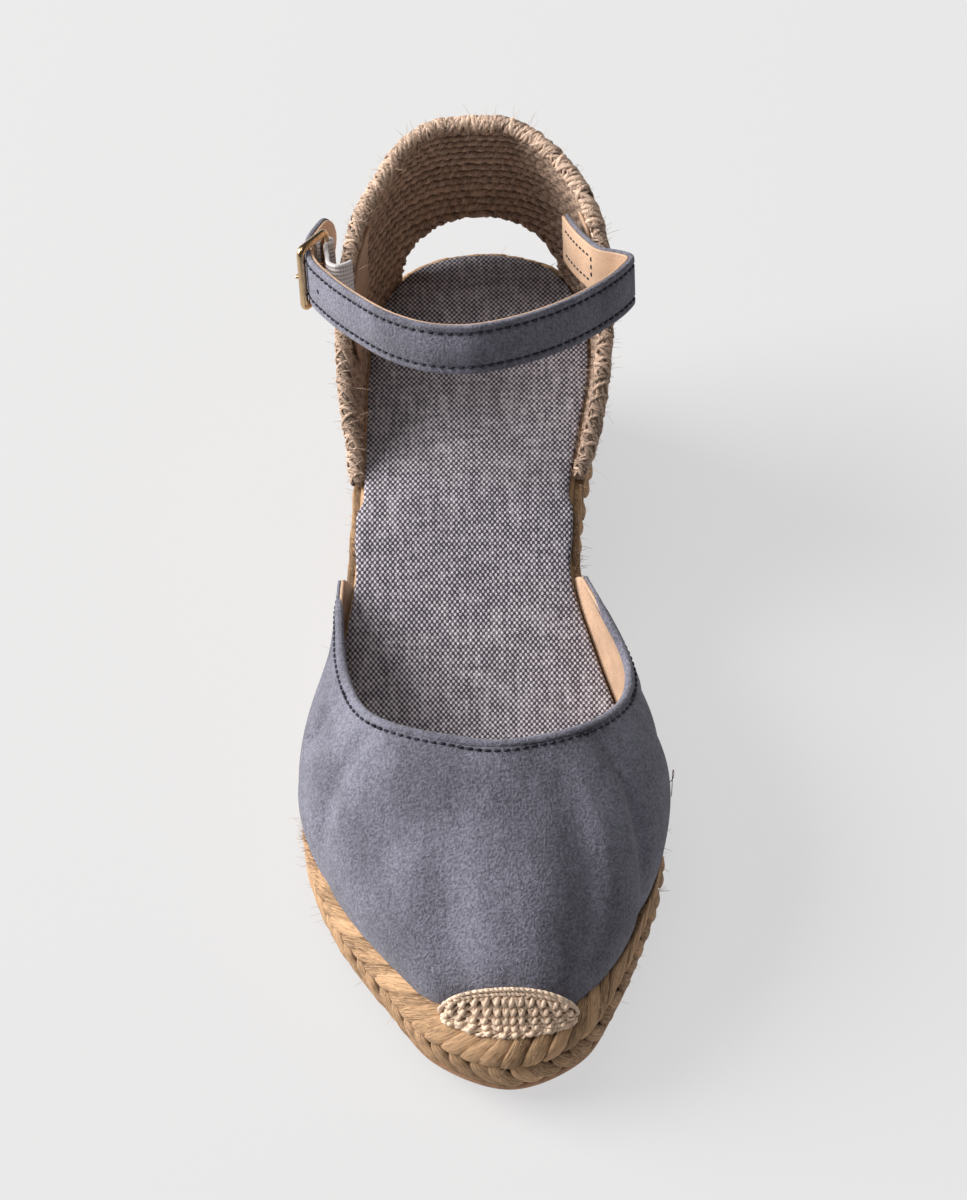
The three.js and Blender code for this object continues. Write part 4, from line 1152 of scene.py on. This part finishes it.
class ESPADRILLE_OT_wedge(bpy.types.Operator, EspadrilleOperator):
    """Platform braid and wedge braid over a plain core"""
    bl_idname = "espadrille.wedge"
    bl_label = "Braid"

    def execute(self, context):
        sole, detail, random = self.parts(context)
        line = sole.line
        self.core(sole)
        count = round(line.length / detail.plait_pitch)
        pitch = line.length / count

        def platform(distance, level, stand):
            return sole.platform(line.param(distance), level, stand)

        shape = plait(platform, count, pitch, random, (1.6, 3.0))
        self.settle(sole, shape)
        add_piece("platform_plait", shape, material("jute"))
        self.rows(sole, detail, random)
        return {"FINISHED"}

    def settle(self, sole, shape):
        """Keeps the braid under the insole's edge where it doesn't roll over to the upper."""
        along = sole.along_of(shape.points)
        sides = [sole.feather(sole.param_at(along, side)) for side in (-1, 1)]
        feather = np.where(shape.points[:, 0] < 0, *sides)
        rolled = smoothstep(feather / sole.size.toe_setback, 0.08, 0.3)
        roof = sole.braid_top(along) + lerp(-0.0005, 0.0026, rolled)
        shape.points[:, 2] = np.minimum(shape.points[:, 2], roof)

    def core(self, sole):
        size = sole.size
        rings = []
        param = sole.line.param(np.arange(300) / 300 * sole.line.length)
        along = sole.along_of(sole.line(param))
        bottom = sole.platform_bottom(along)
        for share in (0.0, 0.5, 0.96):
            height = share * np.maximum(bottom - size.outsole_thick - size.gap, 0.0005)
            inset = size.rib_depth * 1.3 + sole.taper(along, height)
            ring = sole.edge(param, inset)
            ring[:, 2] = size.outsole_thick + size.gap + height + sole.underside(along) * (share == 0)
            rings.append(ring)
        for level in (0.02, 0.25, 0.5, 0.65, 0.8, 0.9, 1.0):
            rings.append(sole.platform(param, level, -0.0003)[0])
        shape = closed_stack(np.array(rings))
        add_piece("braid_core", shape, material("jute"), ["wedge"])

    def rows(self, sole, detail, random):
        size, line = sole.size, sole.line
        shapes = []
        alongs = np.linspace(0, 0.62 * size.sole_length, 400)
        for row in range(WEDGE_ROWS):
            middle = (row + 0.5) * size.row_height
            room = sole.platform_bottom(alongs) - size.outsole_thick - size.gap - middle
            closed = np.flatnonzero(room < 0.1 * size.row_height)
            reach = alongs[closed[0]] if len(closed) else alongs[-1]
            begin = np.interp(sole.param_at(reach, 1), line.steps, line.travel) - line.length
            end = np.interp(sole.param_at(reach, -1), line.steps, line.travel)
            count = max(2, round((end - begin) / detail.row_pitch))
            pitch = (end - begin) / count

            def surface(distance, level, stand, row=row, begin=begin):
                height = (row + level) * size.row_height
                param = line.param(distance + begin)
                roof = sole.platform_bottom(sole.along_of(line(param))) - size.outsole_thick - size.gap
                return sole.wedge_side(param, np.minimum(height, roof), stand)

            shapes.append(plait(surface, count, pitch, random, (1.1, 1.1), 10))
        add_piece("wedge_plait", join(*shapes), material("jute"))


class ESPADRILLE_OT_insole(bpy.types.Operator, EspadrilleOperator):
    """Canvas covered footbed"""
    bl_idname = "espadrille.insole"
    bl_label = "Insole"

    def execute(self, context):
        sole = self.parts(context)[0]
        size = sole.size
        half = np.linspace(0, 0.5, 181)[1:-1]
        x = np.linspace(-1, 1, 25)

        def both(inset):
            return [sole.edge(param, sole.insole_inset(param) + size.insole_thick * inset)
                    for param in (half, 1 - half)]

        left, right = both(0.25)
        top = lerp(left[:, None], right[:, None], ((x + 1) / 2)[None, :, None])
        crown = size.gap * (1 - x ** 2)
        top[..., 2] = sole.footbed(sole.along_of(top)) + crown
        levels = [(0.0, 0.25), (-0.06, 0.1), (-0.25, 0.0), (-0.6, 0.0), (-1.0, 0.0)]
        rim = []
        for level, inset in levels:
            sides = both(inset)
            for side in sides:
                side[:, 2] = sole.footbed(sole.along_of(side)) + level * size.insole_thick
            rim.append(sides)
        lateral = np.stack([sides[0] for sides in rim[::-1]], axis=1)
        medial = np.stack([sides[1] for sides in rim], axis=1)
        points = np.concatenate([lateral[:, :-1], top, medial[:, 1:]], axis=1)
        shape = grid(points)
        ends = points.shape[1]
        shape.faces.append(tuple(reversed(range(ends))))
        shape.faces.append(tuple(range(len(points) * ends - ends, len(points) * ends)))
        add_piece("insole_canvas", shape, material("canvas"), ["insole"])
        return {"FINISHED"}


class ESPADRILLE_OT_vamp(bpy.types.Operator, EspadrilleOperator):
    """Suede vamp with its lining, bound topline and seam"""
    bl_idname = "espadrille.vamp"
    bl_label = "Vamp"

    def execute(self, context):
        sole, detail = self.parts(context)[:2]
        size, vamp = sole.size, Vamp(sole)
        place = np.linspace(0, vamp.last, 289)[:, None]
        level = np.concatenate([np.linspace(0, 0.96, 56), [0.975, 0.985]])[None, :]
        dent = np.zeros((place.shape[0], level.shape[1]))
        for at, up, tall, wide, deep in zip(*CREASES.columns.values()):
            dent -= deep * np.exp(-((place - at) / wide) ** 2 - ((level - up) / (tall / 2)) ** 2)
        swell = 0.00035 * np.sin(place * 2.1) * np.sin(level * math.pi) ** 2
        half = size.vamp_wall / 2
        suede = sheet(vamp.surface, place, level, half + dent + swell, dent)
        lining = sheet(vamp.surface, place, level, dent, dent - half)
        add_piece("vamp_suede", suede, material("suede"), ["vamp"])
        add_piece("vamp_lining", lining, material("leather"))
        self.binding(sole, vamp, detail)
        return {"FINISHED"}

    def binding(self, sole, vamp, detail):
        size = sole.size
        place = np.linspace(0.15, vamp.last - 0.15, 400)
        high, top = vamp.curve(place)[2:]
        tall = np.linalg.norm(top - high, axis=1) * 3

        def below(distance, stand):
            return vamp.surface(place, 1 - np.minimum(distance / np.maximum(tall, 0.004), 0.3), stand)

        path, normal = below(size.topline_thick * 0.45, 0.0)
        ends = np.minimum(place, vamp.last - place)
        radius = size.topline_thick * 0.5 * lerp(0.35, 1, smoothstep(ends, 0.1, 1.4))
        roll = strands(path[None], normal[None], radius, radius, 14)
        add_piece("topline_binding", roll, material("suede"))
        path, normal = below(size.topline_thick * 1.15, size.vamp_wall / 2 - 0.0001)
        at = along_path(path, detail.stitch_pitch * 0.85)
        index = np.arange(len(place))
        here, out, ahead = [np.stack([np.interp(at, index, axis) for axis in values.T], axis=1)
                            for values in (path, normal, unit(np.gradient(path, axis=0)))]
        seam = stitches(here, out, ahead, detail.stitch_pitch * 0.56, detail.thread * 1.2)
        add_piece("topline_stitches", seam, material("thread"))


class ESPADRILLE_OT_toe_patch(bpy.types.Operator, EspadrilleOperator):
    """Crocheted half moon where the vamp meets the braid"""
    bl_idname = "espadrille.toe_patch"
    bl_label = "Toe patch"

    def execute(self, context):
        sole, detail, random = self.parts(context)
        vamp = Vamp(sole)
        span = self.span(sole, vamp)
        share = np.linspace(-1, 1, 81)[:, None]
        level = np.linspace(0, 1, 20)[None, :]
        backing = sheet(lambda *place: self.spot(sole, vamp, span, *place), share, level, 0.0008, 0.0001)
        # The backing's low tone is painted shade in the gaps between the stitches.
        backing.tone[:] = 0.3
        shapes = [backing]
        for row in range(5):
            shapes += self.row(sole, vamp, span, row, detail, random)
        shapes += self.rim(sole, vamp, span, detail, random)
        add_piece("toe_crochet", join(*shapes), material("crochet"), ["toe_patch"])
        return {"FINISHED"}

    def span(self, sole, vamp):
        """Places of the vamp between which the patch lies."""
        centre = sole.edge(0.5, sole.size.toe_setback)
        places = np.linspace(0, vamp.last, 1801)
        feet = np.abs(vamp.curve(places)[0][:, 0] - centre[0])
        inside = places[feet < sole.size.patch_width / 2]
        return inside[0], inside[-1]

    def climb(self, vamp, place, rise):
        """Level of the vamp's wall at a height over its foot."""
        levels = np.linspace(0, 0.7, 36)
        tall = vamp.middle(place[..., None], levels)[..., 2]
        tall = tall - tall[..., :1]
        k = np.clip(np.argmax(tall >= rise[..., None], axis=-1), 1, None)[..., None]
        low, high = [np.take_along_axis(tall, index, -1)[..., 0] for index in (k - 1, k)]
        return (k[..., 0] - 1 + np.clip((rise - low) / (high - low), 0, 1)) * levels[1]

    def spot(self, sole, vamp, span, share, level, stand):
        """Point on the patch: share -1 to 1 across, level 0 on the braid to 1 on the vamp."""
        size = sole.size
        share, level, stand = np.broadcast_arrays(share, level, stand)
        place = lerp(span[0], span[1], (share * 0.98 + 1) / 2)
        full = np.maximum(0, 1 - np.abs(share) ** 2.6) ** 0.5
        param = vamp.rows(place / vamp.last)[..., 0]
        foot, out = vamp.curve(place)[0], sole.outward(param)
        rise = lerp(0.12, 0.95, full) * size.patch_rise
        spread = lerp(0.1, 1, full) * 0.42 * sole.feather(param)
        top = vamp.surface(place, self.climb(vamp, place, rise), size.vamp_wall / 2 + 0.0002)[0]
        near = size.vamp_wall / 2 + size.gap
        low = foot + out * (near + spread)[..., None]
        low[..., 2] -= 0.0004
        knee = foot + out * (near + 0.0012 * full)[..., None]
        knee[..., 2] += 0.0012 * full
        t = level[..., None]
        point = low * (1 - t) ** 2 + 2 * knee * t * (1 - t) + top * t * t
        ahead = unit(2 * (knee - low) * (1 - t) + 2 * (top - knee) * t)
        side = unit(np.cross(out, np.array([0, 0, 1.0])))
        face = unit(np.cross(side, ahead))
        face = face * np.sign(np.sum(face * (out + np.array([0, 0, 0.6])), axis=-1, keepdims=True))
        return point + face * stand[..., None], face

    def row(self, sole, vamp, span, row, detail, random):
        """One row of crochet: yarns along it and a pair of legs for each stitch."""
        middle = 0.1 + 0.18 * row
        reach = 0.95 - 0.035 * abs(row - 1.5)
        shapes = []
        for shift in (-0.08, 0.08):
            share = np.linspace(-reach, reach, 170)
            level = middle + shift + 0.01 * np.sin(share * 30 + row)
            path, out = self.spot(sole, vamp, span, share, level, 0.0011)
            shapes.append(twisted(path, out, detail.yarn * 0.27, detail.yarn * 0.25, 0.0036, random, 2))
        count = 8 if row == 0 else 12
        at = (np.arange(count) + (0.5 if row % 2 else 0.35)) / count * 2 - 1
        t = np.linspace(0, 1, 10)[None, :]
        for leg in (-1, 1):
            share = at[:, None] * reach + leg * 0.055 * (t - 0.2) + random.uniform(-0.012, 0.012, (count, 1))
            level = middle + (-0.14 if row == 0 else -0.08) + (0.21 if row == 0 else 0.16) * t
            level = level + 0.012 * leg + random.uniform(-0.012, 0.012, (count, 1))
            stand = 0.001 + (0.0008 + 0.0002 * leg) * np.sin(t * math.pi) ** 0.7
            stand = stand + random.uniform(0, 0.0002, (count, 1))
            path, out = self.spot(sole, vamp, span, share, level, stand)
            thick = detail.yarn * (0.27 + 0.13 * np.sin(t * math.pi))
            shapes.append(strands(path, out, thick * 1.1, thick, 10, 3, 0.08,
                                  random.uniform(0.45, 0.8, count), shadow=0.15))
        return shapes

    def rim(self, sole, vamp, span, detail, random):
        """Chain along the patch's upper edge and its ends."""
        shapes = []
        count = 26
        t = np.linspace(-1, 1, 9)[None, :]
        at = np.linspace(-0.96, 0.96, count)[:, None]
        for leg in (-1, 1):
            share = at + 0.062 * t + random.uniform(-0.008, 0.008, (count, 1))
            edge = 0.98 - 0.1 * np.abs(share) ** 6
            level = edge + leg * 0.035 * np.cos(t * math.pi / 2) - 0.02 * t
            stand = 0.0008 + 0.0008 * np.cos(t * math.pi / 2)
            path, out = self.spot(sole, vamp, span, np.clip(share, -1, 1), level, stand)
            thick = detail.yarn * (0.22 + 0.12 * np.cos(t * math.pi / 2))
            shapes.append(strands(path, out, thick, thick, 8, 3, 0.08, random.uniform(0.5, 0.85, count),
                                  shadow=0.3))
        return shapes


class ESPADRILLE_OT_counter(bpy.types.Operator, EspadrilleOperator):
    """Woven jute counter with yarns wrapped over its edges"""
    bl_idname = "espadrille.counter"
    bl_label = "Counter"

    def execute(self, context):
        sole, detail, random = self.parts(context)
        counter = Counter(sole)
        self.core(counter)
        self.weave(counter, detail, random)
        self.edges(counter, detail, random)
        return {"FINISHED"}

    def core(self, counter):
        turn = np.linspace(-1, 1, 241)[:, None]
        tall = counter.tall(turn)
        low = counter.window(turn) / tall
        level = low + (1 - low) * np.linspace(0, 1, 14)[None, :]
        core = sheet(counter.surface, turn, level, CORE_HALF, -CORE_HALF)
        add_piece("counter_core", core, material("weave"), ["counter"])

    def weave(self, counter, detail, random):
        size = counter.sole.size
        shapes = []
        turn = np.linspace(-1, 1, 360)
        tall, window = counter.tall(turn), counter.window(turn)
        distance = turn * counter.reach
        for row in range(int(size.counter_height / detail.knit_pitch) + 1):
            height = (row + 0.5) * detail.knit_pitch
            free = (height < tall - 0.0012) & (height > window + 0.0008)
            edges = np.flatnonzero(np.diff(np.concatenate([[0], free.astype(int), [0]])))
            for first, last in zip(edges[::2], edges[1::2]):
                if last - first < 6:
                    continue
                here = slice(first, last)
                phase = distance[here] / (0.6 * detail.knit_pitch) * math.pi + row * 2.3
                drift = random.uniform(-0.8, 0.8, 60)
                phase = phase + np.interp(distance[here], np.linspace(-0.2, 0.2, 60), drift)
                wobble = random.uniform(-0.00012, 0.00012, last - first)
                level = (height + 0.0003 * np.sin(phase) + wobble) / tall[here]
                swell = 1 + 0.16 * np.cos(phase)
                # Each row has its own tone; the cosine term is painted light and shade that follows each
                # swell of the yarn.
                tone = random.uniform(0.45, 0.6) + 0.14 * np.cos(phase + 0.8)
                for face in (-1, 1):
                    path, normal = counter.surface(turn[here], level, face * CORE_HALF)
                    shapes.append(strands(path[None], face * normal[None], detail.knit_pitch * 0.42 * swell,
                                          size.counter_wall * 0.3 * swell, 7, tone=tone[None], shadow=0.5))
        add_piece("counter_weave", join(*shapes), material("weave"))

    def edges(self, counter, detail, random):
        size = counter.sole.size
        turn = np.linspace(-1, 1, 400)
        tall = counter.tall(turn)
        radius = np.minimum(size.counter_edge * 0.4, tall * 0.4)
        top, normal = counter.surface(turn, 1 - radius / tall, 0.0)
        # The rope's very low tone is painted shade in the gaps between the wrapped yarns.
        shapes = [strands(top[None], normal[None], radius * 0.85, radius * 0.85, 10, tone=0.1)]
        for lean in (1.0, -0.7, 2.2):
            shapes.append(self.whip(counter, -1, 1, 1, size.counter_edge * 0.45, lean, detail, random))
        shapes.append(self.whip(counter, -size.window_turn * 0.97, size.window_turn * 0.97, -1,
                                size.counter_edge * 0.32, 1.0, detail, random))
        add_piece("counter_edge", join(*shapes), material("weave"))

    def whip(self, counter, begin, end, up, radius, lean, detail, random):
        """Yarns wrapped round an edge of the wall: its upper edge, or that of the opening below."""
        count = round((end - begin) * counter.reach / detail.whip_pitch)
        spot = begin + (end - begin) * (np.arange(count) + random.uniform(0.1, 0.9, count)) / count
        angle = np.linspace(-2.3, 2.3, 12)[None, :]
        lean = lean * detail.whip_pitch / counter.reach * angle / 2 * random.uniform(0.5, 1.4, (count, 1))
        turn = np.clip(spot[:, None] + lean, -1, 1)
        tall = counter.tall(turn)
        radius = np.minimum(radius * random.uniform(0.85, 1.15, (count, 1)), tall * 0.42)
        level = (radius * (1 - np.cos(angle))) / tall
        level = 1 - level if up > 0 else counter.window(turn) / tall + level
        path = counter.surface(turn, level, radius * np.sin(angle))[0]
        middle = 1 - radius / tall if up > 0 else (counter.window(turn) + radius) / tall
        centre = counter.surface(turn, middle, 0.0)[0]
        thick = detail.yarn * random.uniform(0.2, 0.42, (count, 1)) * (1 - 0.5 * (angle / 2.3) ** 4)
        return strands(path, unit(path - centre), thick * 1.2, thick, 8, 3, 0.1,
                       random.uniform(0.3, 0.85, count), shadow=0.35)


class ESPADRILLE_OT_strap(bpy.types.Operator, EspadrilleOperator):
    """Ankle strap, elastic, buckle and the leather pieces inside the counter"""
    bl_idname = "espadrille.strap"
    bl_label = "Strap and buckle"

    def execute(self, context):
        sole, detail = self.parts(context)[:2]
        plane = StrapPlane(sole)
        self.strap(sole, plane, detail)
        self.elastic(sole, plane)
        self.buckle(sole, plane)
        self.linings(sole)
        return {"FINISHED"}

    def layer(self, plane, line, start, end, section, steps=220, rounded_end=0.0):
        distance = np.linspace(start, end, steps)[:, None]
        wide = section[None, :, 0]
        if rounded_end:
            left = np.clip((distance - (end - rounded_end)) / rounded_end, 0, 1)
            wide = wide * np.sqrt(np.maximum(1 - left ** 2, 0.02))
        points = plane.band(line, distance, wide, section[None, :, 1])[0]
        uv = np.stack(np.broadcast_arrays(distance, wide), axis=-1)
        return bands(points, uv=uv)

    def strap(self, sole, plane, detail):
        size, line = sole.size, plane.strap
        margin = size.strap_width / 2 - 0.0021
        suede = rounded(size.strap_width, size.strap_thick * 0.66, size.strap_thick * 0.28)
        suede[:, 1] += size.strap_thick * 0.17
        notch = [(side * margin + across, size.strap_thick * (0.5 - deep)) for side in (1, -1)
                 for across, deep in ((0.0006, 0.0), (0.0, 0.2), (-0.0006, 0.0))]
        suede = np.insert(suede, 5, notch, axis=0)
        lining = rounded(size.strap_width - 0.0006, size.strap_thick * 0.32, size.strap_thick * 0.12)
        lining[:, 1] -= size.strap_thick * 0.34
        end = line.length
        add_piece("strap_suede", self.layer(plane, line, 0, end, suede, rounded_end=0.006),
                  material("suede"), ["strap"])
        add_piece("strap_lining", self.layer(plane, line, 0, end - 0.0004, lining, rounded_end=0.006),
                  material("leather"))
        outer = np.arange(0.03, end - 0.004, detail.stitch_pitch * 0.9)
        inner = np.arange(0.004, SEWN_END, detail.stitch_pitch * 0.8)
        down = np.arange(-margin * 0.6, margin * 0.7, detail.stitch_pitch * 0.8)
        seams = [(outer, side * margin, 1) for side in (-1, 1)]
        seams += [(inner, side * margin * 0.75, -1) for side in (-1, 1)] + [(SEWN_END, down, -1)]
        shapes = [self.seam(plane, *seam, detail, size) for seam in seams]
        shapes.append(self.hole_shade(plane, size))
        add_piece("strap_stitches", join(*shapes), material("thread"))

    def hole_shade(self, plane, size):
        """Dark disc on the strap: painted shade standing for the punched hole in front of the buckle."""
        places = np.linspace(0, plane.strap.length, 500)
        line = plane.band(plane.strap, places, 0 * places, 0 * places)[0]
        bar = plane.world(np.array([[*plane.front_bar, 0.0]]))
        spot = places[np.argmin(np.linalg.norm(line - bar, axis=1))] - 0.0085
        t = np.linspace(-1, 1, 9)
        path, out = plane.band(plane.strap, spot + t * 0.0007, 0 * t, 0 * t + size.strap_thick / 2)
        wide = 0.0007 * np.sqrt(np.maximum(1 - t * t, 0.02))
        return strands(path[None], out[None], wide[None], 0.0001, 8, tone=0.5)

    def seam(self, plane, spots, down, face, detail, size):
        """Stitches on the outer or the inner side of the strap."""
        here, out = plane.band(plane.strap, spots, down, face * (size.strap_thick / 2 - 0.0002))
        ahead = unit(np.gradient(here, axis=0))
        return stitches(here, out * face, ahead, detail.stitch_pitch * 0.5, detail.thread)

    def elastic(self, sole, plane):
        size = sole.size
        radius = size.wire / 2 + size.gap + size.elastic_thick / 2
        turns = np.array([0.42, 0.17, -0.08, -0.33, -0.58, -0.83, -1.08]) * math.pi
        loop = plane.back_bar + radius * np.column_stack([np.cos(turns), np.sin(turns)])
        line = Spline(np.vstack([plane.elastic_rows, loop]))
        section = rounded(size.elastic_width, size.elastic_thick, size.elastic_thick * 0.3)
        begin = 0.42 * line.length
        add_piece("elastic_band", self.layer(plane, line, begin, line.length, section, 180),
                  material("webbing"), ["elastic"])

    def buckle(self, sole, plane):
        size = sole.size
        half = size.strap_width / 2 + size.gap + size.wire / 2
        corners = [(*plane.front_bar, -half), (*plane.front_bar, half), (*plane.back_bar, half),
                   (*plane.back_bar, -half)]
        corners = np.array(corners)
        points = []
        for k in range(4):
            here, before, after = corners[k], corners[k - 1], corners[(k + 1) % 4]
            a, b = [here + unit(other - here) * BUCKLE_CORNER for other in (before, after)]
            for t in np.linspace(0, 1, 7):
                points.append((1 - t) ** 2 * a + 2 * t * (1 - t) * here + t * t * b)
        path = plane.world(np.array(points))
        centre = path.mean(axis=0)
        normal = unit(np.cross(path[7] - centre, path[0] - centre))
        ahead = unit(np.roll(path, -1, axis=0) - np.roll(path, 1, axis=0))
        across = unit(np.cross(ahead, normal))
        angle = np.arange(14) / 14 * 2 * math.pi
        radius = size.wire / 2
        ring = (path[:, None] + across[:, None] * (np.cos(angle) * radius)[None, :, None]
                + normal * (np.sin(angle) * radius)[None, :, None])
        add_piece("buckle_frame", bands(ring, closed=True), material("metal"), ["buckle"])
        root = plane.back_bar + np.array([0, (size.wire + size.prong_wire) / 2 + size.gap])
        reach = plane.front_bar - root
        tilt = math.asin(((size.wire + size.prong_wire) / 2 + size.gap) / np.linalg.norm(reach))
        turn = np.array([[math.cos(tilt), -math.sin(tilt)], [math.sin(tilt), math.cos(tilt)]])
        tip = root + turn @ reach * PRONG_REACH
        t = np.linspace(0, 1, 16)
        bow = np.sin(t * math.pi)[:, None] * np.array([-0.0004, 0])
        flat = lerp(root, tip, t[:, None]) + bow
        path = plane.world(np.column_stack([flat, 0 * t]))
        normal = np.broadcast_to(plane.axes[0], path.shape)
        thin = size.prong_wire / 2 * np.interp(t, [0, 0.04, 0.1, 0.9, 0.97, 1], [0.6, 0.9, 1, 0.9, 0.7, 0.3])
        add_piece("buckle_prong", strands(path[None], normal[None], thin, thin, 10), material("metal"),
                  ["prong"])

    def linings(self, sole):
        size, counter = sole.size, Counter(sole)
        spans = {"lateral": ((-0.69, -0.46), (0.36, 0.88)), "medial": ((0.42, 0.62), (0.4, 0.84))}
        stand = -(size.counter_wall / 2 + size.fit)
        for name, (turns, levels) in spans.items():
            turn, level = np.linspace(*turns, 40)[:, None], np.linspace(*levels, 24)[None, :]
            piece = sheet(counter.surface, turn, level, stand, stand - size.lining_thick * 0.7)
            add_piece(name + "_leather", piece, material("leather"), [name + "_lining"])


class ESPADRILLE_OT_fibres(bpy.types.Operator, EspadrilleOperator):
    """Loose fibres along the counter's edge and the braid"""
    bl_idname = "espadrille.fibres"
    bl_label = "Loose fibres"

    def execute(self, context):
        sole, detail, random = self.parts(context)
        counter = Counter(sole)
        many = 420
        turn = np.sort(random.uniform(-1, 1, many))
        tall = counter.tall(turn)
        root, out = counter.surface(turn, 1 - random.uniform(0, 0.006, many) / tall, 0.0)
        up = np.array([0, 0, 0.5]) + out * random.uniform(-1.4, 1.4, (many, 1))
        reach = 0.0025 + 0.0035 * random.uniform(0, 1, many) ** 3
        whiskers = [self.whiskers(root, up, reach, detail, random)]
        fuzz = 3 * many
        turn, share = random.uniform(-1, 1, fuzz), random.uniform(0.05, 1, fuzz)
        tall = counter.tall(turn)
        low = (counter.window(turn) + 0.001) / tall
        face = np.where(random.uniform(0, 1, fuzz) < 0.7, -1, 1)
        root, out = counter.surface(turn, lerp(low, 1, share), face * 0.0013)
        reach = random.uniform(0.001, 0.0022, fuzz)
        whiskers.append(self.whiskers(root, out * face[:, None], reach, detail, random))
        distance = random.uniform(0, sole.line.length, many)
        root, out = sole.platform(sole.line.param(distance), random.uniform(0.1, 1.0, many), 0.001)
        whiskers.append(self.whiskers(root, out, random.uniform(0.0012, 0.0028, many), detail, random))
        tuft = 140
        spots = random.uniform(0.705, 0.765, tuft) * sole.size.sole_length
        root, out = sole.platform(sole.param_at(spots, -1), random.uniform(0.8, 1.0, tuft), 0.001)
        lift = out + np.array([0, 0, 1.0]) * random.uniform(-0.2, 0.8, (tuft, 1))
        whiskers.append(self.whiskers(root, lift, random.uniform(0.0012, 0.003, tuft), detail, random))
        add_piece("loose_fibres", join(*whiskers, self.curl(sole, detail)), material("weave"))
        return {"FINISHED"}

    def curl(self, sole, detail):
        """One loose thread that curls out of the foot of the vamp on the inner side."""
        param = sole.param_at(0.665 * sole.size.sole_length, 1)
        root, out = sole.platform(param, 0.95, 0.0)
        turns = np.linspace(0, 1, 40)
        reach = 0.0075 * np.sin(turns * math.pi * 0.75)
        ahead = 0.0045 * np.sin(turns * 2.2 * math.pi) * turns
        lift = 0.001 + 0.004 * turns * np.cos(turns * 2.6)
        side = np.cross(out, np.array([0, 0, 1.0]))
        path = root + out * reach[:, None] + side * ahead[:, None] + np.array([0, 0, 1.0]) * lift[:, None]
        normal = np.broadcast_to(out, path.shape)
        return strands(path[None], normal[None], detail.fibre * 0.7, detail.fibre * 0.7, 5, tone=0.1)

    def whiskers(self, root, ahead, reach, detail, random):
        """Thin curved hairs."""
        count = len(root)
        t = np.linspace(0, 1, 7)[None, :, None]
        side = unit(random.normal(size=(count, 3)))
        reach = reach[:, None, None]
        path = root[:, None] + unit(ahead)[:, None] * t * reach
        path = path + side[:, None] * (t ** 2) * reach * random.uniform(0.2, 0.9, (count, 1, 1))
        normal = np.broadcast_to(unit(random.normal(size=(count, 3)))[:, None], path.shape)
        thin = detail.fibre / 2 * np.linspace(1, 0.3, 7)[None, :]
        return strands(path, normal, thin, thin, 4, tone=np.full(count, 0.75))


class ESPADRILLE_PT_panel(bpy.types.Panel):
    """Builds the shoe piece by piece"""
    bl_label = "Espadrille"
    bl_idname = "ESPADRILLE_PT_panel"
    bl_space_type = "VIEW_3D"
    bl_region_type = "UI"
    bl_category = "Espadrille"

    def draw(self, context):
        for step in STEPS:
            self.layout.operator(step.bl_idname)


STEPS = [
    ESPADRILLE_OT_stage,
    ESPADRILLE_OT_outsole,
    ESPADRILLE_OT_wedge,
    ESPADRILLE_OT_insole,
    ESPADRILLE_OT_vamp,
    ESPADRILLE_OT_toe_patch,
    ESPADRILLE_OT_counter,
    ESPADRILLE_OT_strap,
    ESPADRILLE_OT_fibres,
]
GROUPS = {
    "espadrille_sizes": EspadrilleSizes,
    "espadrille_detail": EspadrilleDetail,
    "espadrille_colors": EspadrilleColors,
    "espadrille_stage": EspadrilleStage,
}


def register():
    for name, group in GROUPS.items():
        bpy.utils.register_class(group)
        setattr(bpy.types.Scene, name, PointerProperty(type=group))
    for step in STEPS:
        bpy.utils.register_class(step)
    bpy.utils.register_class(ESPADRILLE_PT_panel)


def unregister():
    bpy.utils.unregister_class(ESPADRILLE_PT_panel)
    for step in reversed(STEPS):
        bpy.utils.unregister_class(step)
    for name, group in reversed(GROUPS.items()):
        delattr(bpy.types.Scene, name)
        bpy.utils.unregister_class(group)


def main():
    register()
    for step in STEPS:
        group, name = step.bl_idname.split(".")
        getattr(getattr(bpy.ops, group), name)()


if __name__ == "__main__":
    main()
